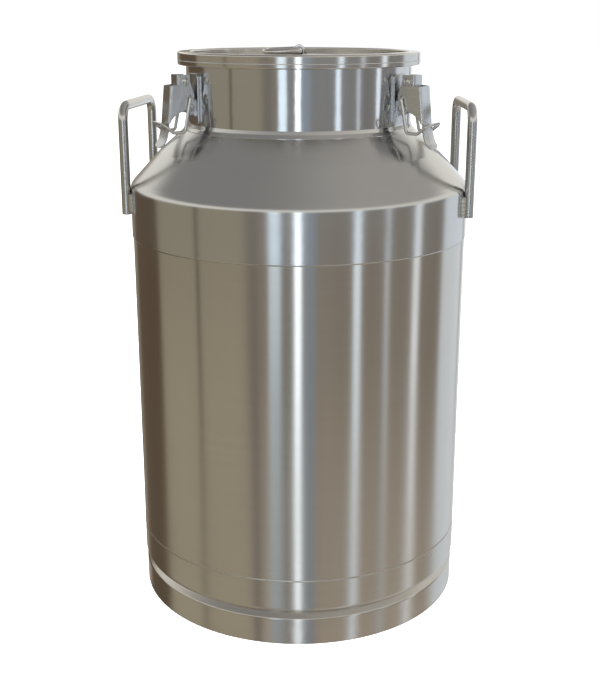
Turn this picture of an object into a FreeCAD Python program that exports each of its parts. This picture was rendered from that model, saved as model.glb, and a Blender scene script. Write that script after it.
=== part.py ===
import FreeCAD, Part
import math
import os

# Milk can, 50-litre class, in stainless steel. Millimetres, +Z up, origin on the can's axis at the
# base. The front is -Y. Latches are drawn in the plane of +X and turned to their places.

# ---- can body ----
body_radius = 180.0
body_wall = 1.5
body_height = 331.9          # between the two seams
bottom_skirt_height = 31.4   # straight part of the bottom, under the lower seam
bottom_wall = 2.0
knuckle_radius = 5.0         # tight turn at the end of the bottom skirt
seat_width = 10.0            # flat of the bottom that the foot ring is welded to
dish_sag = 13.5              # how far the middle of the floor hangs below its edge
dish_flat_radius = 60.0

# ---- foot ring ----
foot_height = 37.5
foot_inset = 1.0             # how far the ring stands inside the body
foot_wall = 2.5
foot_slope_width = 6.5       # width of the sloping shoulder
foot_slope_height = 8.0
foot_land_width = 5.0        # flat top that meets the bottom
foot_edge_radius = 1.0

# ---- shoulder ----
band_step = 1.0              # the shoulder band stands proud of the body
band_height = 49.3
shoulder_wall = 2.0
shoulder_edge_radius = 11.0
shoulder_crown_radius = 380.0
shoulder_angle = 38.0        # slope at the neck, degrees

# ---- neck and mouth ----
neck_radius = 118.7
neck_wall = 1.5
neck_height = 62.5           # from the shoulder's top to the mouth ring
mouth_ring_overhang = 8.6    # beyond the neck's outer surface
mouth_ring_height = 4.5
mouth_edge_radius = 1.4

# ---- weld beads ----
seam_bead_width = 1.8
seam_bead_rise = 0.35
neck_bead_leg = 4.0
foot_bead_leg = 2.0

# ---- lid ----
lid_gap = 0.5                # air between lid flange and mouth ring
lid_flange_height = 8.4
lid_flange_width = 13.4
lid_top_radius = 2.0         # rounding of the flange's outer top edge
lid_inner_radius = 1.5
gasket_width = 5.0
gasket_inset = 3.0           # from the flange's outer edge
gasket_groove_depth = 3.0
lid_sheet = 1.5
lid_lip_drop = 1.4           # the dish ends this far below the flange's top
lid_moat_depth = 17.4        # from the flange's top to the bottom of the moat
lid_moat_width = 7.5
lid_moat_corner = 4.0
lid_crown_drop = 4.4         # from the flange's top to the raised middle
lid_crown_radius = 44.0

# ---- hoop and lifting ring on the lid ----
ring_rod = 6.4
ring_reach = 35.0            # from the hinge to the middle of the outer side
ring_span = 50.0             # between the middles of the two legs
ring_bend = 9.0
ring_hinge_height = 5.0      # hinge above the raised middle
ring_rest_gap = 0.3
hoop_clearance = 0.1
hoop_thickness = 2.4
hoop_depth = 12.0
hoop_foot = 3.0              # how far each foot spreads
hoop_foot_thickness = 1.2

# ---- side handles ----
handle_rod = 10.0
handle_angles = {"left": 173.0, "right": 0.0}
handle_span = 120.0          # between the middles of the legs
handle_rise = 117.0          # from the legs' lower ends to the top
handle_foot_drop = 25.1      # legs reach this far below the shoulder's edge
handle_bend = 15.0
handle_bead_radius = 4.2
handle_bead_length = 22.0
handle_bead_lift = 1.0       # lower ends of the beads above the legs' lower ends
handle_bead_seat = 0.72      # how far a bead sits out from its leg, as a share of both radii

# ---- latches ----
latch_angles = {"left": -153.0, "right": -32.5, "rear": 87.0}
plate_width = 25.0
plate_height = 50.0
plate_thickness = 2.0
plate_corner = 4.0
plate_drop = 20.4            # from the top of the lid to the top of the plate
plate_stock = 2.0            # behind the plate's face, cut away to the neck's curve
latch_sheet = 1.4
ear_thickness = 1.8
ear_inset = 1.0              # the ears end this far inside the yoke's outline
ear_root_bury = 1.0          # and reach this far into the plate
ear_root_low = 5.0           # root below the rivet's boss
ear_root_high = 6.0          # root above the rivet's boss
lever_width = 22.0
side_clearance = 0.3         # between lever and yoke, and between wire and rivet head
pin_radius = 2.5
pin_clearance = 0.05
pin_head_radius = 4.4
pin_head_height = 1.1
pin_head_gap = 0.15
wire_radius = 1.6
wire_clearance = 0.05
wire_bend = 3.4
# places in the latch's plane: (out from the neck, down from the top of the lid)
pivot_at = (14.0, 28.0)
wire_hole_at = (9.6, 42.0)
rivet_at = (8.5, 53.5)
lever_top_at = (29.5, 31.5)
lever_heel_at = (33.3, 69.3)
lever_tip_at = (42.0, 92.0)
lever_lip_at = (35.3, 80.5)
hook_low_at = (17.0, 77.0)
hook_out_at = (29.0, 77.4)
hook_bar_at = (40.0, 68.5)
yoke_top_drop = 21.0
yoke_face = 22.0
yoke_face_height = 10.5
yoke_inner = 8.5
yoke_boss = 6.0
yoke_back_height = 6.0       # upright part of the cheeks' back edge
lever_boss = 5.0
wire_boss = 5.0
lip_bow = 0.4                # the lip's first part bows inwards by this
lip_curl_at = (2.6, 6.8)     # middle of the curl's outer side, from the lip: out and down
lip_inner_curl_at = (1.4, 7.6)
tip_bevel = 0.7              # the tip's inner edge stands lower by this share of the sheet
tip_round = (0.2, 0.5)       # middle of the tip's rounding, as shares of the sheet: in and down
cheek_low_at = (6.1, 14.3)   # lower corner of the lever's cheek, from the wire hole: out and down
cheek_hollow_at = (16.8, 19.6)
cheek_heel_rise = 1.5        # the cheek ends this far above the heel
# degrees round a hole at which an outline joins and leaves its boss
ear_rivet_turns = (-80.0, -20.0)
ear_pivot_turns = (-20.0, 150.0)
ear_back_turn = 145.0
yoke_rivet_turns = (155.0, 335.0)
lever_pivot_turns = (-35.0, 160.0)
lever_wire_turns = (160.0, 255.0)

# ---- worked out ----
foot_radius = body_radius - foot_inset
lower_seam_z = foot_height + knuckle_radius + bottom_skirt_height
upper_seam_z = lower_seam_z + body_height
band_radius = body_radius + band_step
edge_z = upper_seam_z + band_height
crown_turn = math.radians(shoulder_angle)
crown_centre_r = neck_radius - shoulder_crown_radius * math.sin(crown_turn)
edge_reach = shoulder_crown_radius - shoulder_edge_radius
edge_centre_r = band_radius - shoulder_edge_radius
crown_centre_z = edge_z - math.sqrt(edge_reach ** 2 - (edge_centre_r - crown_centre_r) ** 2)
shoulder_top_z = crown_centre_z + shoulder_crown_radius * math.cos(crown_turn)
mouth_z = shoulder_top_z + neck_height
mouth_top_z = mouth_z + mouth_ring_height
lid_bottom_z = mouth_top_z + lid_gap
lid_top_z = lid_bottom_z + lid_flange_height
lid_crown_z = lid_top_z - lid_crown_drop
ring_hinge_z = lid_crown_z + ring_hinge_height
mouth_ring_radius = neck_radius + mouth_ring_overhang
lid_bore_radius = mouth_ring_radius - lid_flange_width
lever_inner = lever_width / 2 - latch_sheet
yoke_outer = lever_inner - side_clearance
yoke_inner_face = yoke_outer - latch_sheet
head_seat = lever_width / 2 + pin_head_gap
wire_offset = head_seat + pin_head_height + side_clearance + wire_radius

AXIS = FreeCAD.Vector(0, 0, 1)
ORIGIN = FreeCAD.Vector(0, 0, 0)
FULL_TURN = 360.0
TOUCH = 0.01                 # lengths closer than this are the same


def vec(r, t, z):
    """A point from its distance along +X, along +Y and up."""
    return FreeCAD.Vector(r, t, z)


def outline(points):
    """Closed wire in the XZ plane. A point with three numbers, (r, z, "via"), is the middle of an arc."""
    edges = []
    last = points[0]
    via = None
    for point in points[1:] + points[:1]:
        if len(point) == 3:
            via = point
            continue
        start = vec(last[0], 0, last[1])
        end = vec(point[0], 0, point[1])
        if via:
            edges.append(Part.Arc(start, vec(via[0], 0, via[1]), end).toShape())
        else:
            edges.append(Part.LineSegment(start, end).toShape())
        last = point
        via = None
    return Part.Wire(edges)


def revolved(points):
    """Solid of a closed (r, z) outline turned about the can's axis."""
    return Part.Face(outline(points)).revolve(ORIGIN, AXIS, FULL_TURN)


def plate(points, start, thickness):
    """Flat plate of a closed (r, z) outline, from Y = start, with its thickness along +Y."""
    face = Part.Face(outline(points))
    face.translate(vec(0, start, 0))
    return face.extrude(vec(0, thickness, 0))


def on_arc(centre, radius, degrees, mark=False):
    """Point of a circle in the XZ plane; marked, it is the middle of an arc."""
    turn = math.radians(degrees)
    r = centre[0] + radius * math.cos(turn)
    z = centre[1] + radius * math.sin(turn)
    return (r, z, "via") if mark else (r, z)


def cross_pin(place, radius, half_length):
    """Cylinder along Y through a place in the latch's plane."""
    return Part.makeCylinder(radius, 2 * half_length, vec(place[0], -half_length, place[1]), vec(0, 1, 0))


def bent_rod(points, bend, radius, closed=False):
    """Round rod along straight runs joined by tangent arcs of one bend radius."""
    corners = [FreeCAD.Vector(p) for p in points]
    count = len(corners)
    turns = []
    for i in range(count):
        if not closed and i in (0, count - 1):
            turns.append((corners[i], None, corners[i]))
            continue
        here = corners[i]
        back = (corners[i - 1] - here).normalize()
        ahead = (corners[(i + 1) % count] - here).normalize()
        half = back.getAngle(ahead) / 2
        reach = bend / math.tan(half)
        middle = (back + ahead).normalize() * (bend / math.sin(half) - bend)
        turns.append((here + back * reach, here + middle, here + ahead * reach))
    edges = []
    for i in range(count):
        start, mid, end = turns[i]
        if mid is not None:
            edges.append(Part.Arc(start, mid, end).toShape())
        if i < count - 1 or closed:
            following = turns[(i + 1) % count][0]
            edges.append(Part.LineSegment(end, following).toShape())
    path = Part.Wire(edges)
    first = edges[0]
    begin = first.valueAt(first.FirstParameter)
    along = first.tangentAt(first.FirstParameter)
    ring = Part.Wire(Part.makeCircle(radius, begin, along))
    return path.makePipeShell([ring], True, True)


def boss(centre, radius, turns):
    """Three points that give an outline an arc round a hole, from the first angle to the second."""
    first, last = turns
    return [on_arc(centre, radius, first),
            on_arc(centre, radius, (first + last) / 2, True),
            on_arc(centre, radius, last)]


def in_latch(place):
    """(distance out from the neck, drop from the lid's top) as (radius, height)."""
    return (neck_radius + place[0], lid_top_z - place[1])


# ---------------------------------------------------------------- can body
def body_shell():
    """Rolled cylinder between the two seams."""
    inner = body_radius - body_wall
    return revolved([(inner, lower_seam_z), (body_radius, lower_seam_z),
                     (body_radius, upper_seam_z), (inner, upper_seam_z)])


def shoulder_shell():
    """Straight band, rounded edge and crowned cone that ends on the neck tube."""
    edge_centre = (edge_centre_r, edge_z)
    crown_centre = (crown_centre_r, crown_centre_z)
    edge_turn = math.degrees(math.atan2(edge_z - crown_centre_z, edge_centre_r - crown_centre_r))

    def at_neck(radius):
        """Angle at which a crown arc of this radius meets the neck's outer surface."""
        return math.degrees(math.acos((neck_radius - crown_centre_r) / radius))

    inner_edge = shoulder_edge_radius - shoulder_wall
    inner_crown = shoulder_crown_radius - shoulder_wall
    outer_end = at_neck(shoulder_crown_radius)
    inner_end = at_neck(inner_crown)
    return revolved([
        (band_radius, upper_seam_z),
        (band_radius, edge_z),
        on_arc(edge_centre, shoulder_edge_radius, edge_turn / 2, True),
        on_arc(edge_centre, shoulder_edge_radius, edge_turn),
        on_arc(crown_centre, shoulder_crown_radius, (edge_turn + outer_end) / 2, True),
        on_arc(crown_centre, shoulder_crown_radius, outer_end),
        on_arc(crown_centre, inner_crown, inner_end),
        on_arc(crown_centre, inner_crown, (edge_turn + inner_end) / 2, True),
        on_arc(crown_centre, inner_crown, edge_turn),
        on_arc(edge_centre, inner_edge, edge_turn / 2, True),
        (band_radius - shoulder_wall, edge_z),
        (band_radius - shoulder_wall, upper_seam_z),
    ])


def neck_tube():
    """Straight tube from inside the shoulder's top to the mouth ring."""
    inner = neck_radius - neck_wall
    low = shoulder_top_z - shoulder_wall / math.cos(crown_turn)
    return revolved([(inner, low), (neck_radius, low), (neck_radius, mouth_z), (inner, mouth_z)])


def mouth_ring():
    """Flat flange on top of the neck, rounded at its lower outer edge."""
    inner = neck_radius - neck_wall
    centre = (mouth_ring_radius - mouth_edge_radius, mouth_z + mouth_edge_radius)
    return revolved([
        (inner, mouth_z),
        (centre[0], mouth_z),
        on_arc(centre, mouth_edge_radius, -45, True),
        (mouth_ring_radius, centre[1]),
        (mouth_ring_radius, mouth_top_z),
        (inner, mouth_top_z),
    ])


def bottom_dish():
    """Skirt, tight knuckle, flat seat and sagging floor."""
    knuckle_r = body_radius - knuckle_radius
    knuckle_z = foot_height + knuckle_radius
    centre = (knuckle_r, knuckle_z)
    inner_turn = knuckle_radius - bottom_wall
    seat_r = knuckle_r - seat_width
    low = foot_height - dish_sag
    return revolved([
        (body_radius, lower_seam_z),
        (body_radius, knuckle_z),
        on_arc(centre, knuckle_radius, -45, True),
        (knuckle_r, foot_height),
        (seat_r, foot_height),
        (dish_flat_radius, low),
        (0, low),
        (0, low + bottom_wall),
        (dish_flat_radius, low + bottom_wall),
        (seat_r, foot_height + bottom_wall),
        (knuckle_r, foot_height + bottom_wall),
        on_arc(centre, inner_turn, -45, True),
        (body_radius - bottom_wall, knuckle_z),
        (body_radius - bottom_wall, lower_seam_z),
    ])


def foot_ring():
    """Rolled hoop: upright face, sloping shoulder and a narrow land under the bottom dish."""
    slope_z = foot_height - foot_slope_height
    land_r = foot_radius - foot_slope_width
    inner = foot_radius - foot_wall
    low = (foot_radius - foot_edge_radius, foot_edge_radius)
    return revolved([
        (inner, 0),
        (low[0], 0),
        on_arc(low, foot_edge_radius, -45, True),
        (foot_radius, foot_edge_radius),
        (foot_radius, slope_z),
        (land_r, foot_height),
        (land_r - foot_land_width, foot_height),
        (land_r - foot_land_width, foot_height - foot_wall),
        (land_r - foot_wall / 2, foot_height - foot_wall),
        (inner, slope_z - foot_wall / 2),
    ])


def seam_weld(radius, height):
    """Low round bead on an upright wall."""
    half = seam_bead_width / 2
    return revolved([(radius, height - half), (radius + seam_bead_rise, height, "via"),
                     (radius, height + half)])


def lower_seam_weld():
    """Bead where the body meets the bottom skirt."""
    return seam_weld(body_radius, lower_seam_z)


def upper_seam_weld():
    """Fillet bead on the step under the shoulder band."""
    return revolved([(body_radius, upper_seam_z), (body_radius, upper_seam_z - band_step),
                     (band_radius, upper_seam_z)])


def neck_weld():
    """Fillet bead in the corner of neck and shoulder."""
    leg = neck_bead_leg
    reach = neck_radius + leg - crown_centre_r
    foot_z = crown_centre_z + math.sqrt(shoulder_crown_radius ** 2 - reach ** 2)
    dip = shoulder_wall / 2
    bead = revolved([
        (neck_radius, shoulder_top_z - dip),
        (neck_radius + leg, foot_z - dip),
        (neck_radius + leg, foot_z),
        (neck_radius, shoulder_top_z + leg),
    ])
    return bead.cut(shoulder_shell())


def foot_weld():
    """Fillet bead inside the foot ring, under the bottom dish."""
    inner = foot_radius - foot_slope_width - foot_land_width
    seat_end = body_radius - knuckle_radius - seat_width
    leg = min(foot_bead_leg, inner - seat_end)
    return revolved([(inner, foot_height), (inner, foot_height - leg), (inner - leg, foot_height)])


# ---------------------------------------------------------------- lid
def lid_flange_ring():
    """Turned rim with a gasket groove in its underside."""
    outer = mouth_ring_radius
    groove_out = outer - gasket_inset
    groove_in = groove_out - gasket_width
    groove_top = lid_bottom_z + gasket_groove_depth
    top_centre = (outer - lid_top_radius, lid_top_z - lid_top_radius)
    bore_centre = (lid_bore_radius + lid_inner_radius, lid_top_z - lid_inner_radius)
    return revolved([
        (lid_bore_radius, lid_bottom_z),
        (groove_in, lid_bottom_z),
        (groove_in, groove_top),
        (groove_out, groove_top),
        (groove_out, lid_bottom_z),
        (outer, lid_bottom_z),
        (outer, top_centre[1]),
        on_arc(top_centre, lid_top_radius, 45, True),
        (top_centre[0], lid_top_z),
        (bore_centre[0], lid_top_z),
        on_arc(bore_centre, lid_inner_radius, 135, True),
        (lid_bore_radius, bore_centre[1]),
    ])


def lid_gasket():
    """Flat ring in the groove, which stands on the mouth ring."""
    outer = mouth_ring_radius - gasket_inset
    inner = outer - gasket_width
    top = lid_bottom_z + gasket_groove_depth
    return revolved([(inner, mouth_top_z), (outer, mouth_top_z), (outer, top), (inner, top)])


def lid_dish():
    """Pressed sheet: upright wall, round moat and a raised flat middle."""
    wall = lid_bore_radius
    lip = lid_top_z - lid_lip_drop - lid_inner_radius
    floor = lid_top_z - lid_moat_depth
    corner = lid_moat_corner
    upper = (wall - lid_sheet - corner, floor + corner)
    moat_in = upper[0] - lid_moat_width
    return revolved([
        (wall, lip),
        (wall, upper[1]),
        on_arc(upper, corner + lid_sheet, -45, True),
        (upper[0], floor - lid_sheet),
        (moat_in, floor - lid_sheet),
        (lid_crown_radius, lid_crown_z - lid_sheet),
        (0, lid_crown_z - lid_sheet),
        (0, lid_crown_z),
        (lid_crown_radius, lid_crown_z),
        (moat_in, floor),
        (upper[0], floor),
        on_arc(upper, corner, -45, True),
        (wall - lid_sheet, upper[1]),
        (wall - lid_sheet, lip),
    ])


def lid_hoop():
    """Strap bent over the lifting ring's hinge bar, with two feet on the lid."""
    bore = ring_rod / 2 + hoop_clearance
    outer = bore + hoop_thickness
    foot_z = lid_crown_z + hoop_foot_thickness
    centre = (0, ring_hinge_z)
    profile = [
        (outer + hoop_foot, lid_crown_z),
        (outer + hoop_foot, foot_z),
        (outer, foot_z),
        (outer, ring_hinge_z),
        on_arc(centre, outer, 90, True),
        (-outer, ring_hinge_z),
        (-outer, foot_z),
        (-outer - hoop_foot, foot_z),
        (-outer - hoop_foot, lid_crown_z),
        (-bore, lid_crown_z),
        (-bore, ring_hinge_z),
        on_arc(centre, bore, 90, True),
        (bore, ring_hinge_z),
        (bore, lid_crown_z),
    ]
    return plate(profile, -hoop_depth / 2, hoop_depth)


def lid_ring():
    """Lifting ring of round rod, lying over to the left on the raised middle of the lid."""
    lying = ring_rod / 2 + ring_rest_gap - ring_hinge_height
    drop = math.asin(-lying / ring_reach)
    far_x = -ring_reach * math.cos(drop)
    far_z = ring_hinge_z - ring_reach * math.sin(drop)
    half = ring_span / 2
    corners = [vec(0, -half, ring_hinge_z), vec(far_x, -half, far_z),
               vec(far_x, half, far_z), vec(0, half, ring_hinge_z)]
    return bent_rod(corners, ring_bend, ring_rod / 2, closed=True)


# ---------------------------------------------------------------- side handles
def handle_place():
    """Distance out and height of the legs' lower ends."""
    touching = band_radius + handle_rod / 2
    out = math.sqrt(touching ** 2 - (handle_span / 2) ** 2)
    return out, edge_z - handle_foot_drop


def side_handle():
    """Upright U of round rod whose legs touch the shoulder band."""
    out, low = handle_place()
    half = handle_span / 2
    top = low + handle_rise - handle_rod / 2
    corners = [vec(out, -half, low), vec(out, -half, top), vec(out, half, top), vec(out, half, low)]
    return bent_rod(corners, handle_bend, handle_rod / 2)


def handle_welds():
    """Four upright beads, one on each side of each leg."""
    out, low = handle_place()
    band = Part.makeCylinder(band_radius, edge_z)
    bead_low = low + handle_bead_lift
    beads = []
    for end in (-1, 1):
        leg_angle = math.atan2(end * handle_span / 2, out)
        leg = Part.makeCylinder(handle_rod / 2, handle_rise, vec(out, end * handle_span / 2, low))
        reach = (handle_rod / 2 + handle_bead_radius) * handle_bead_seat
        for flank in (-1, 1):
            turn = leg_angle + flank * reach / band_radius
            place = vec(band_radius * math.cos(turn), band_radius * math.sin(turn), bead_low)
            bead = Part.makeCylinder(handle_bead_radius, handle_bead_length, place)
            beads.append(bead.cut(band).cut(leg))
    return Part.makeCompound(beads)


# ---------------------------------------------------------------- latches
def ear_outline():
    """Side of the base bracket's ears: root on the plate, round at the rivet and at the lever pin."""
    pivot = in_latch(pivot_at)
    rivet = in_latch(rivet_at)
    radius = yoke_boss - ear_inset
    root = neck_radius + ear_root_bury
    return [
        (root, rivet[1] - radius - ear_root_low),
        *boss(rivet, radius, ear_rivet_turns),
        *boss(pivot, radius, ear_pivot_turns),
        on_arc(rivet, radius, ear_back_turn),
        (root, rivet[1] + radius + ear_root_high),
    ]


def latch_bracket():
    """Base plate shaped to the neck, with two ears that carry the rivet and the lever pin."""
    top = lid_top_z - plate_drop
    low = top - plate_height
    width = plate_width
    depth = plate_thickness + plate_stock
    slab = Part.makeBox(depth, width, plate_height, vec(neck_radius - plate_stock, -width / 2, low))
    upright = [e for e in slab.Edges if abs(e.BoundBox.XLength - depth) < TOUCH]
    slab = slab.makeFillet(plate_corner, upright)
    outer = yoke_inner_face
    ears = [plate(ear_outline(), outer - ear_thickness, ear_thickness),
            plate(ear_outline(), -outer, ear_thickness)]
    bracket = slab.fuse(ears).removeSplitter()
    neck = Part.makeCylinder(neck_radius, mouth_top_z)
    bracket = bracket.cut(neck)
    for place in (pivot_at, rivet_at):
        bracket = bracket.cut(cross_pin(in_latch(place), pin_radius, width))
    return bracket


def latch_yoke():
    """Folded channel over the ears: two cheeks and an outward face above the lever."""
    top = lid_top_z - yoke_top_drop
    face = neck_radius + yoke_face
    inner = neck_radius + yoke_inner
    rivet = in_latch(rivet_at)
    cheek = [
        (face, top),
        (inner, top),
        (inner, top - yoke_back_height),
        *boss(rivet, yoke_boss, yoke_rivet_turns),
        (face, top - yoke_face_height),
    ]
    cheeks = [plate(cheek, yoke_inner_face, latch_sheet), plate(cheek, -yoke_outer, latch_sheet)]
    web = Part.makeBox(latch_sheet, 2 * yoke_outer, yoke_face_height,
                       vec(face - latch_sheet, -yoke_outer, top - yoke_face_height))
    yoke = web.fuse(cheeks).removeSplitter()
    for place in (pivot_at, rivet_at):
        yoke = yoke.cut(cross_pin(in_latch(place), pin_radius, lever_width))
    return yoke


def domed_head(place, seat, side):
    """Low dome on a pin's end, facing +Y or -Y."""
    height = pin_head_height
    sphere_radius = (pin_head_radius ** 2 + height ** 2) / (2 * height)
    ball = Part.makeSphere(sphere_radius, vec(place[0], side * (seat + height - sphere_radius), place[1]))
    keep = Part.makeCylinder(sphere_radius, height, vec(place[0], side * seat, place[1]), vec(0, side, 0))
    return ball.common(keep)


def headed_pin(place, seat):
    """Pin with a domed head at each end."""
    body = cross_pin(place, pin_radius, seat)
    return body.fuse([domed_head(place, seat, 1), domed_head(place, seat, -1)]).removeSplitter()


def latch_rivet():
    """Fixed rivet through the yoke and the ears, inside the lever's cheeks."""
    return headed_pin(in_latch(rivet_at), yoke_outer)


def latch_lever_pin():
    """Pin that the lever turns on."""
    return headed_pin(in_latch(pivot_at), head_seat)


def lever_strip():
    """Outline of the lever's face and lip, seen from the side."""
    top = in_latch(lever_top_at)
    heel = in_latch(lever_heel_at)
    lip = in_latch(lever_lip_at)
    tip = in_latch(lever_tip_at)
    sheet = latch_sheet
    middle = (heel[1] + lip[1]) / 2
    return [
        top,
        heel,
        (lip[0] - lip_bow, middle, "via"),
        lip,
        (lip[0] + lip_curl_at[0], lip[1] - lip_curl_at[1], "via"),
        tip,
        (tip[0] - sheet * tip_round[0], tip[1] - sheet * tip_round[1], "via"),
        (tip[0] - sheet, tip[1] - sheet * tip_bevel),
        (lip[0] + lip_inner_curl_at[0], lip[1] - lip_inner_curl_at[1], "via"),
        (lip[0] - sheet, lip[1] - lip_bow),
        (lip[0] - lip_bow - sheet, middle, "via"),
        (heel[0] - sheet, heel[1]),
        (top[0] - sheet, top[1]),
    ]


def lever_cheek():
    """Outline of the lever's cheeks: round at the pin and at the wire, and hollowed towards the lip."""
    top = in_latch(lever_top_at)
    heel = in_latch(lever_heel_at)
    pivot = in_latch(pivot_at)
    wire = in_latch(wire_hole_at)
    return [
        top,
        *boss(pivot, lever_boss, lever_pivot_turns),
        *boss(wire, wire_boss, lever_wire_turns),
        (wire[0] + cheek_low_at[0], wire[1] - cheek_low_at[1]),
        (wire[0] + cheek_hollow_at[0], wire[1] - cheek_hollow_at[1], "via"),
        (heel[0] - latch_sheet / 2, heel[1] + cheek_heel_rise),
    ]


def latch_lever():
    """Channel lever whose cheeks straddle the yoke, with a lip curled outwards to lift it by."""
    half = lever_width / 2
    cheek = lever_cheek()
    parts = [plate(cheek, lever_inner, latch_sheet), plate(cheek, -half, latch_sheet)]
    lever = plate(lever_strip(), -half, lever_width).fuse(parts).removeSplitter()
    lever = lever.cut(cross_pin(in_latch(pivot_at), pin_radius + pin_clearance, lever_width))
    return lever.cut(cross_pin(in_latch(wire_hole_at), wire_radius + wire_clearance, lever_width))


def latch_hook():
    """Wire bail: ends in the lever's cheeks, arms down and outwards, and a crossbar in front of the lever."""
    eye = in_latch(wire_hole_at)
    places = [in_latch(at) for at in (hook_low_at, hook_out_at, hook_bar_at)]
    one_side = [(eye[0], lever_inner, eye[1]), (eye[0], wire_offset, eye[1])]
    one_side += [(r, wire_offset, z) for r, z in places]
    other_side = [(r, -t, z) for r, t, z in reversed(one_side)]
    return bent_rod([vec(*p) for p in one_side + other_side], wire_bend, wire_radius)


def turned(shape, degrees):
    """Copy of a shape turned about the can's axis."""
    copy = shape.copy()
    copy.rotate(ORIGIN, AXIS, degrees)
    return copy


def build():
    """Every node by name."""
    nodes = {
        "body_shell": body_shell(),
        "shoulder_shell": shoulder_shell(),
        "neck_tube": neck_tube(),
        "mouth_ring": mouth_ring(),
        "bottom_dish": bottom_dish(),
        "foot_ring": foot_ring(),
        "lower_seam_weld": lower_seam_weld(),
        "upper_seam_weld": upper_seam_weld(),
        "neck_weld": neck_weld(),
        "foot_weld": foot_weld(),
        "lid_flange_ring": lid_flange_ring(),
        "lid_dish": lid_dish(),
        "lid_gasket": lid_gasket(),
        "lid_hoop": lid_hoop(),
        "lid_ring": lid_ring(),
    }
    for place, degrees in handle_angles.items():
        nodes[place + "_handle"] = turned(side_handle(), degrees)
        nodes[place + "_handle_welds"] = turned(handle_welds(), degrees)
    latch = {
        "bracket": latch_bracket(),
        "yoke": latch_yoke(),
        "rivet": latch_rivet(),
        "lever_pin": latch_lever_pin(),
        "lever": latch_lever(),
        "hook": latch_hook(),
    }
    for place, degrees in latch_angles.items():
        for piece, shape in latch.items():
            nodes[place + "_latch_" + piece] = turned(shape, degrees)
    return nodes


os.makedirs("parts", exist_ok=True)
for name, shape in build().items():
    if not shape.isValid():
        raise ValueError(name + " is not a valid shape")
    shape.exportStep("parts/" + name + ".step")
    print(name, "solids", len(shape.Solids), "volume", round(shape.Volume, 1))
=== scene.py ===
"""Stainless-steel milk can: the visible pieces, their finishes and a plain studio around them.

Every length is in metres unless a name ends in _mm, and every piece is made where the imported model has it.
"""
import logging
import math
from dataclasses import dataclass, field
from enum import Enum
from typing import Callable, Iterable, Optional, Sequence

import bpy
import numpy as np
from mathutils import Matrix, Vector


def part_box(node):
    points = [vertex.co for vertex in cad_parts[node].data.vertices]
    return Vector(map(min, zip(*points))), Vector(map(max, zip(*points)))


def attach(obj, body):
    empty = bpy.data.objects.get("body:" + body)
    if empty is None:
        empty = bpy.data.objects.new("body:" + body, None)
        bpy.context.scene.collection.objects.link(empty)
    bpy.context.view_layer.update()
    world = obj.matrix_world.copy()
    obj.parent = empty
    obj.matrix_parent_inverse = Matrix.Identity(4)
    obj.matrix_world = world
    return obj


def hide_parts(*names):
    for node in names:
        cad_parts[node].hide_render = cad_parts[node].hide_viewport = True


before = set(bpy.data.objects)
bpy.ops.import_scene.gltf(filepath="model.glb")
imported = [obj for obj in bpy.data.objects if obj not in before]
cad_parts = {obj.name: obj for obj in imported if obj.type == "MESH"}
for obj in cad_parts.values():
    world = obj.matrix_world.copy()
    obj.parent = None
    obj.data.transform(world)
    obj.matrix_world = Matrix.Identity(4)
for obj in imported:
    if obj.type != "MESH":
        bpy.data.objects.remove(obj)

LOG = logging.getLogger("milk_can")
MM = 0.001
TURN = 2.0 * math.pi
HANDLE_AZIMUTHS = {"left": 173.0, "right": 0.0}
LATCH_AZIMUTHS = {"left": -153.0, "right": -32.5, "rear": 87.0}
Colour = tuple[float, float, float]
Array = np.ndarray
Place = tuple[float, float]


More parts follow.
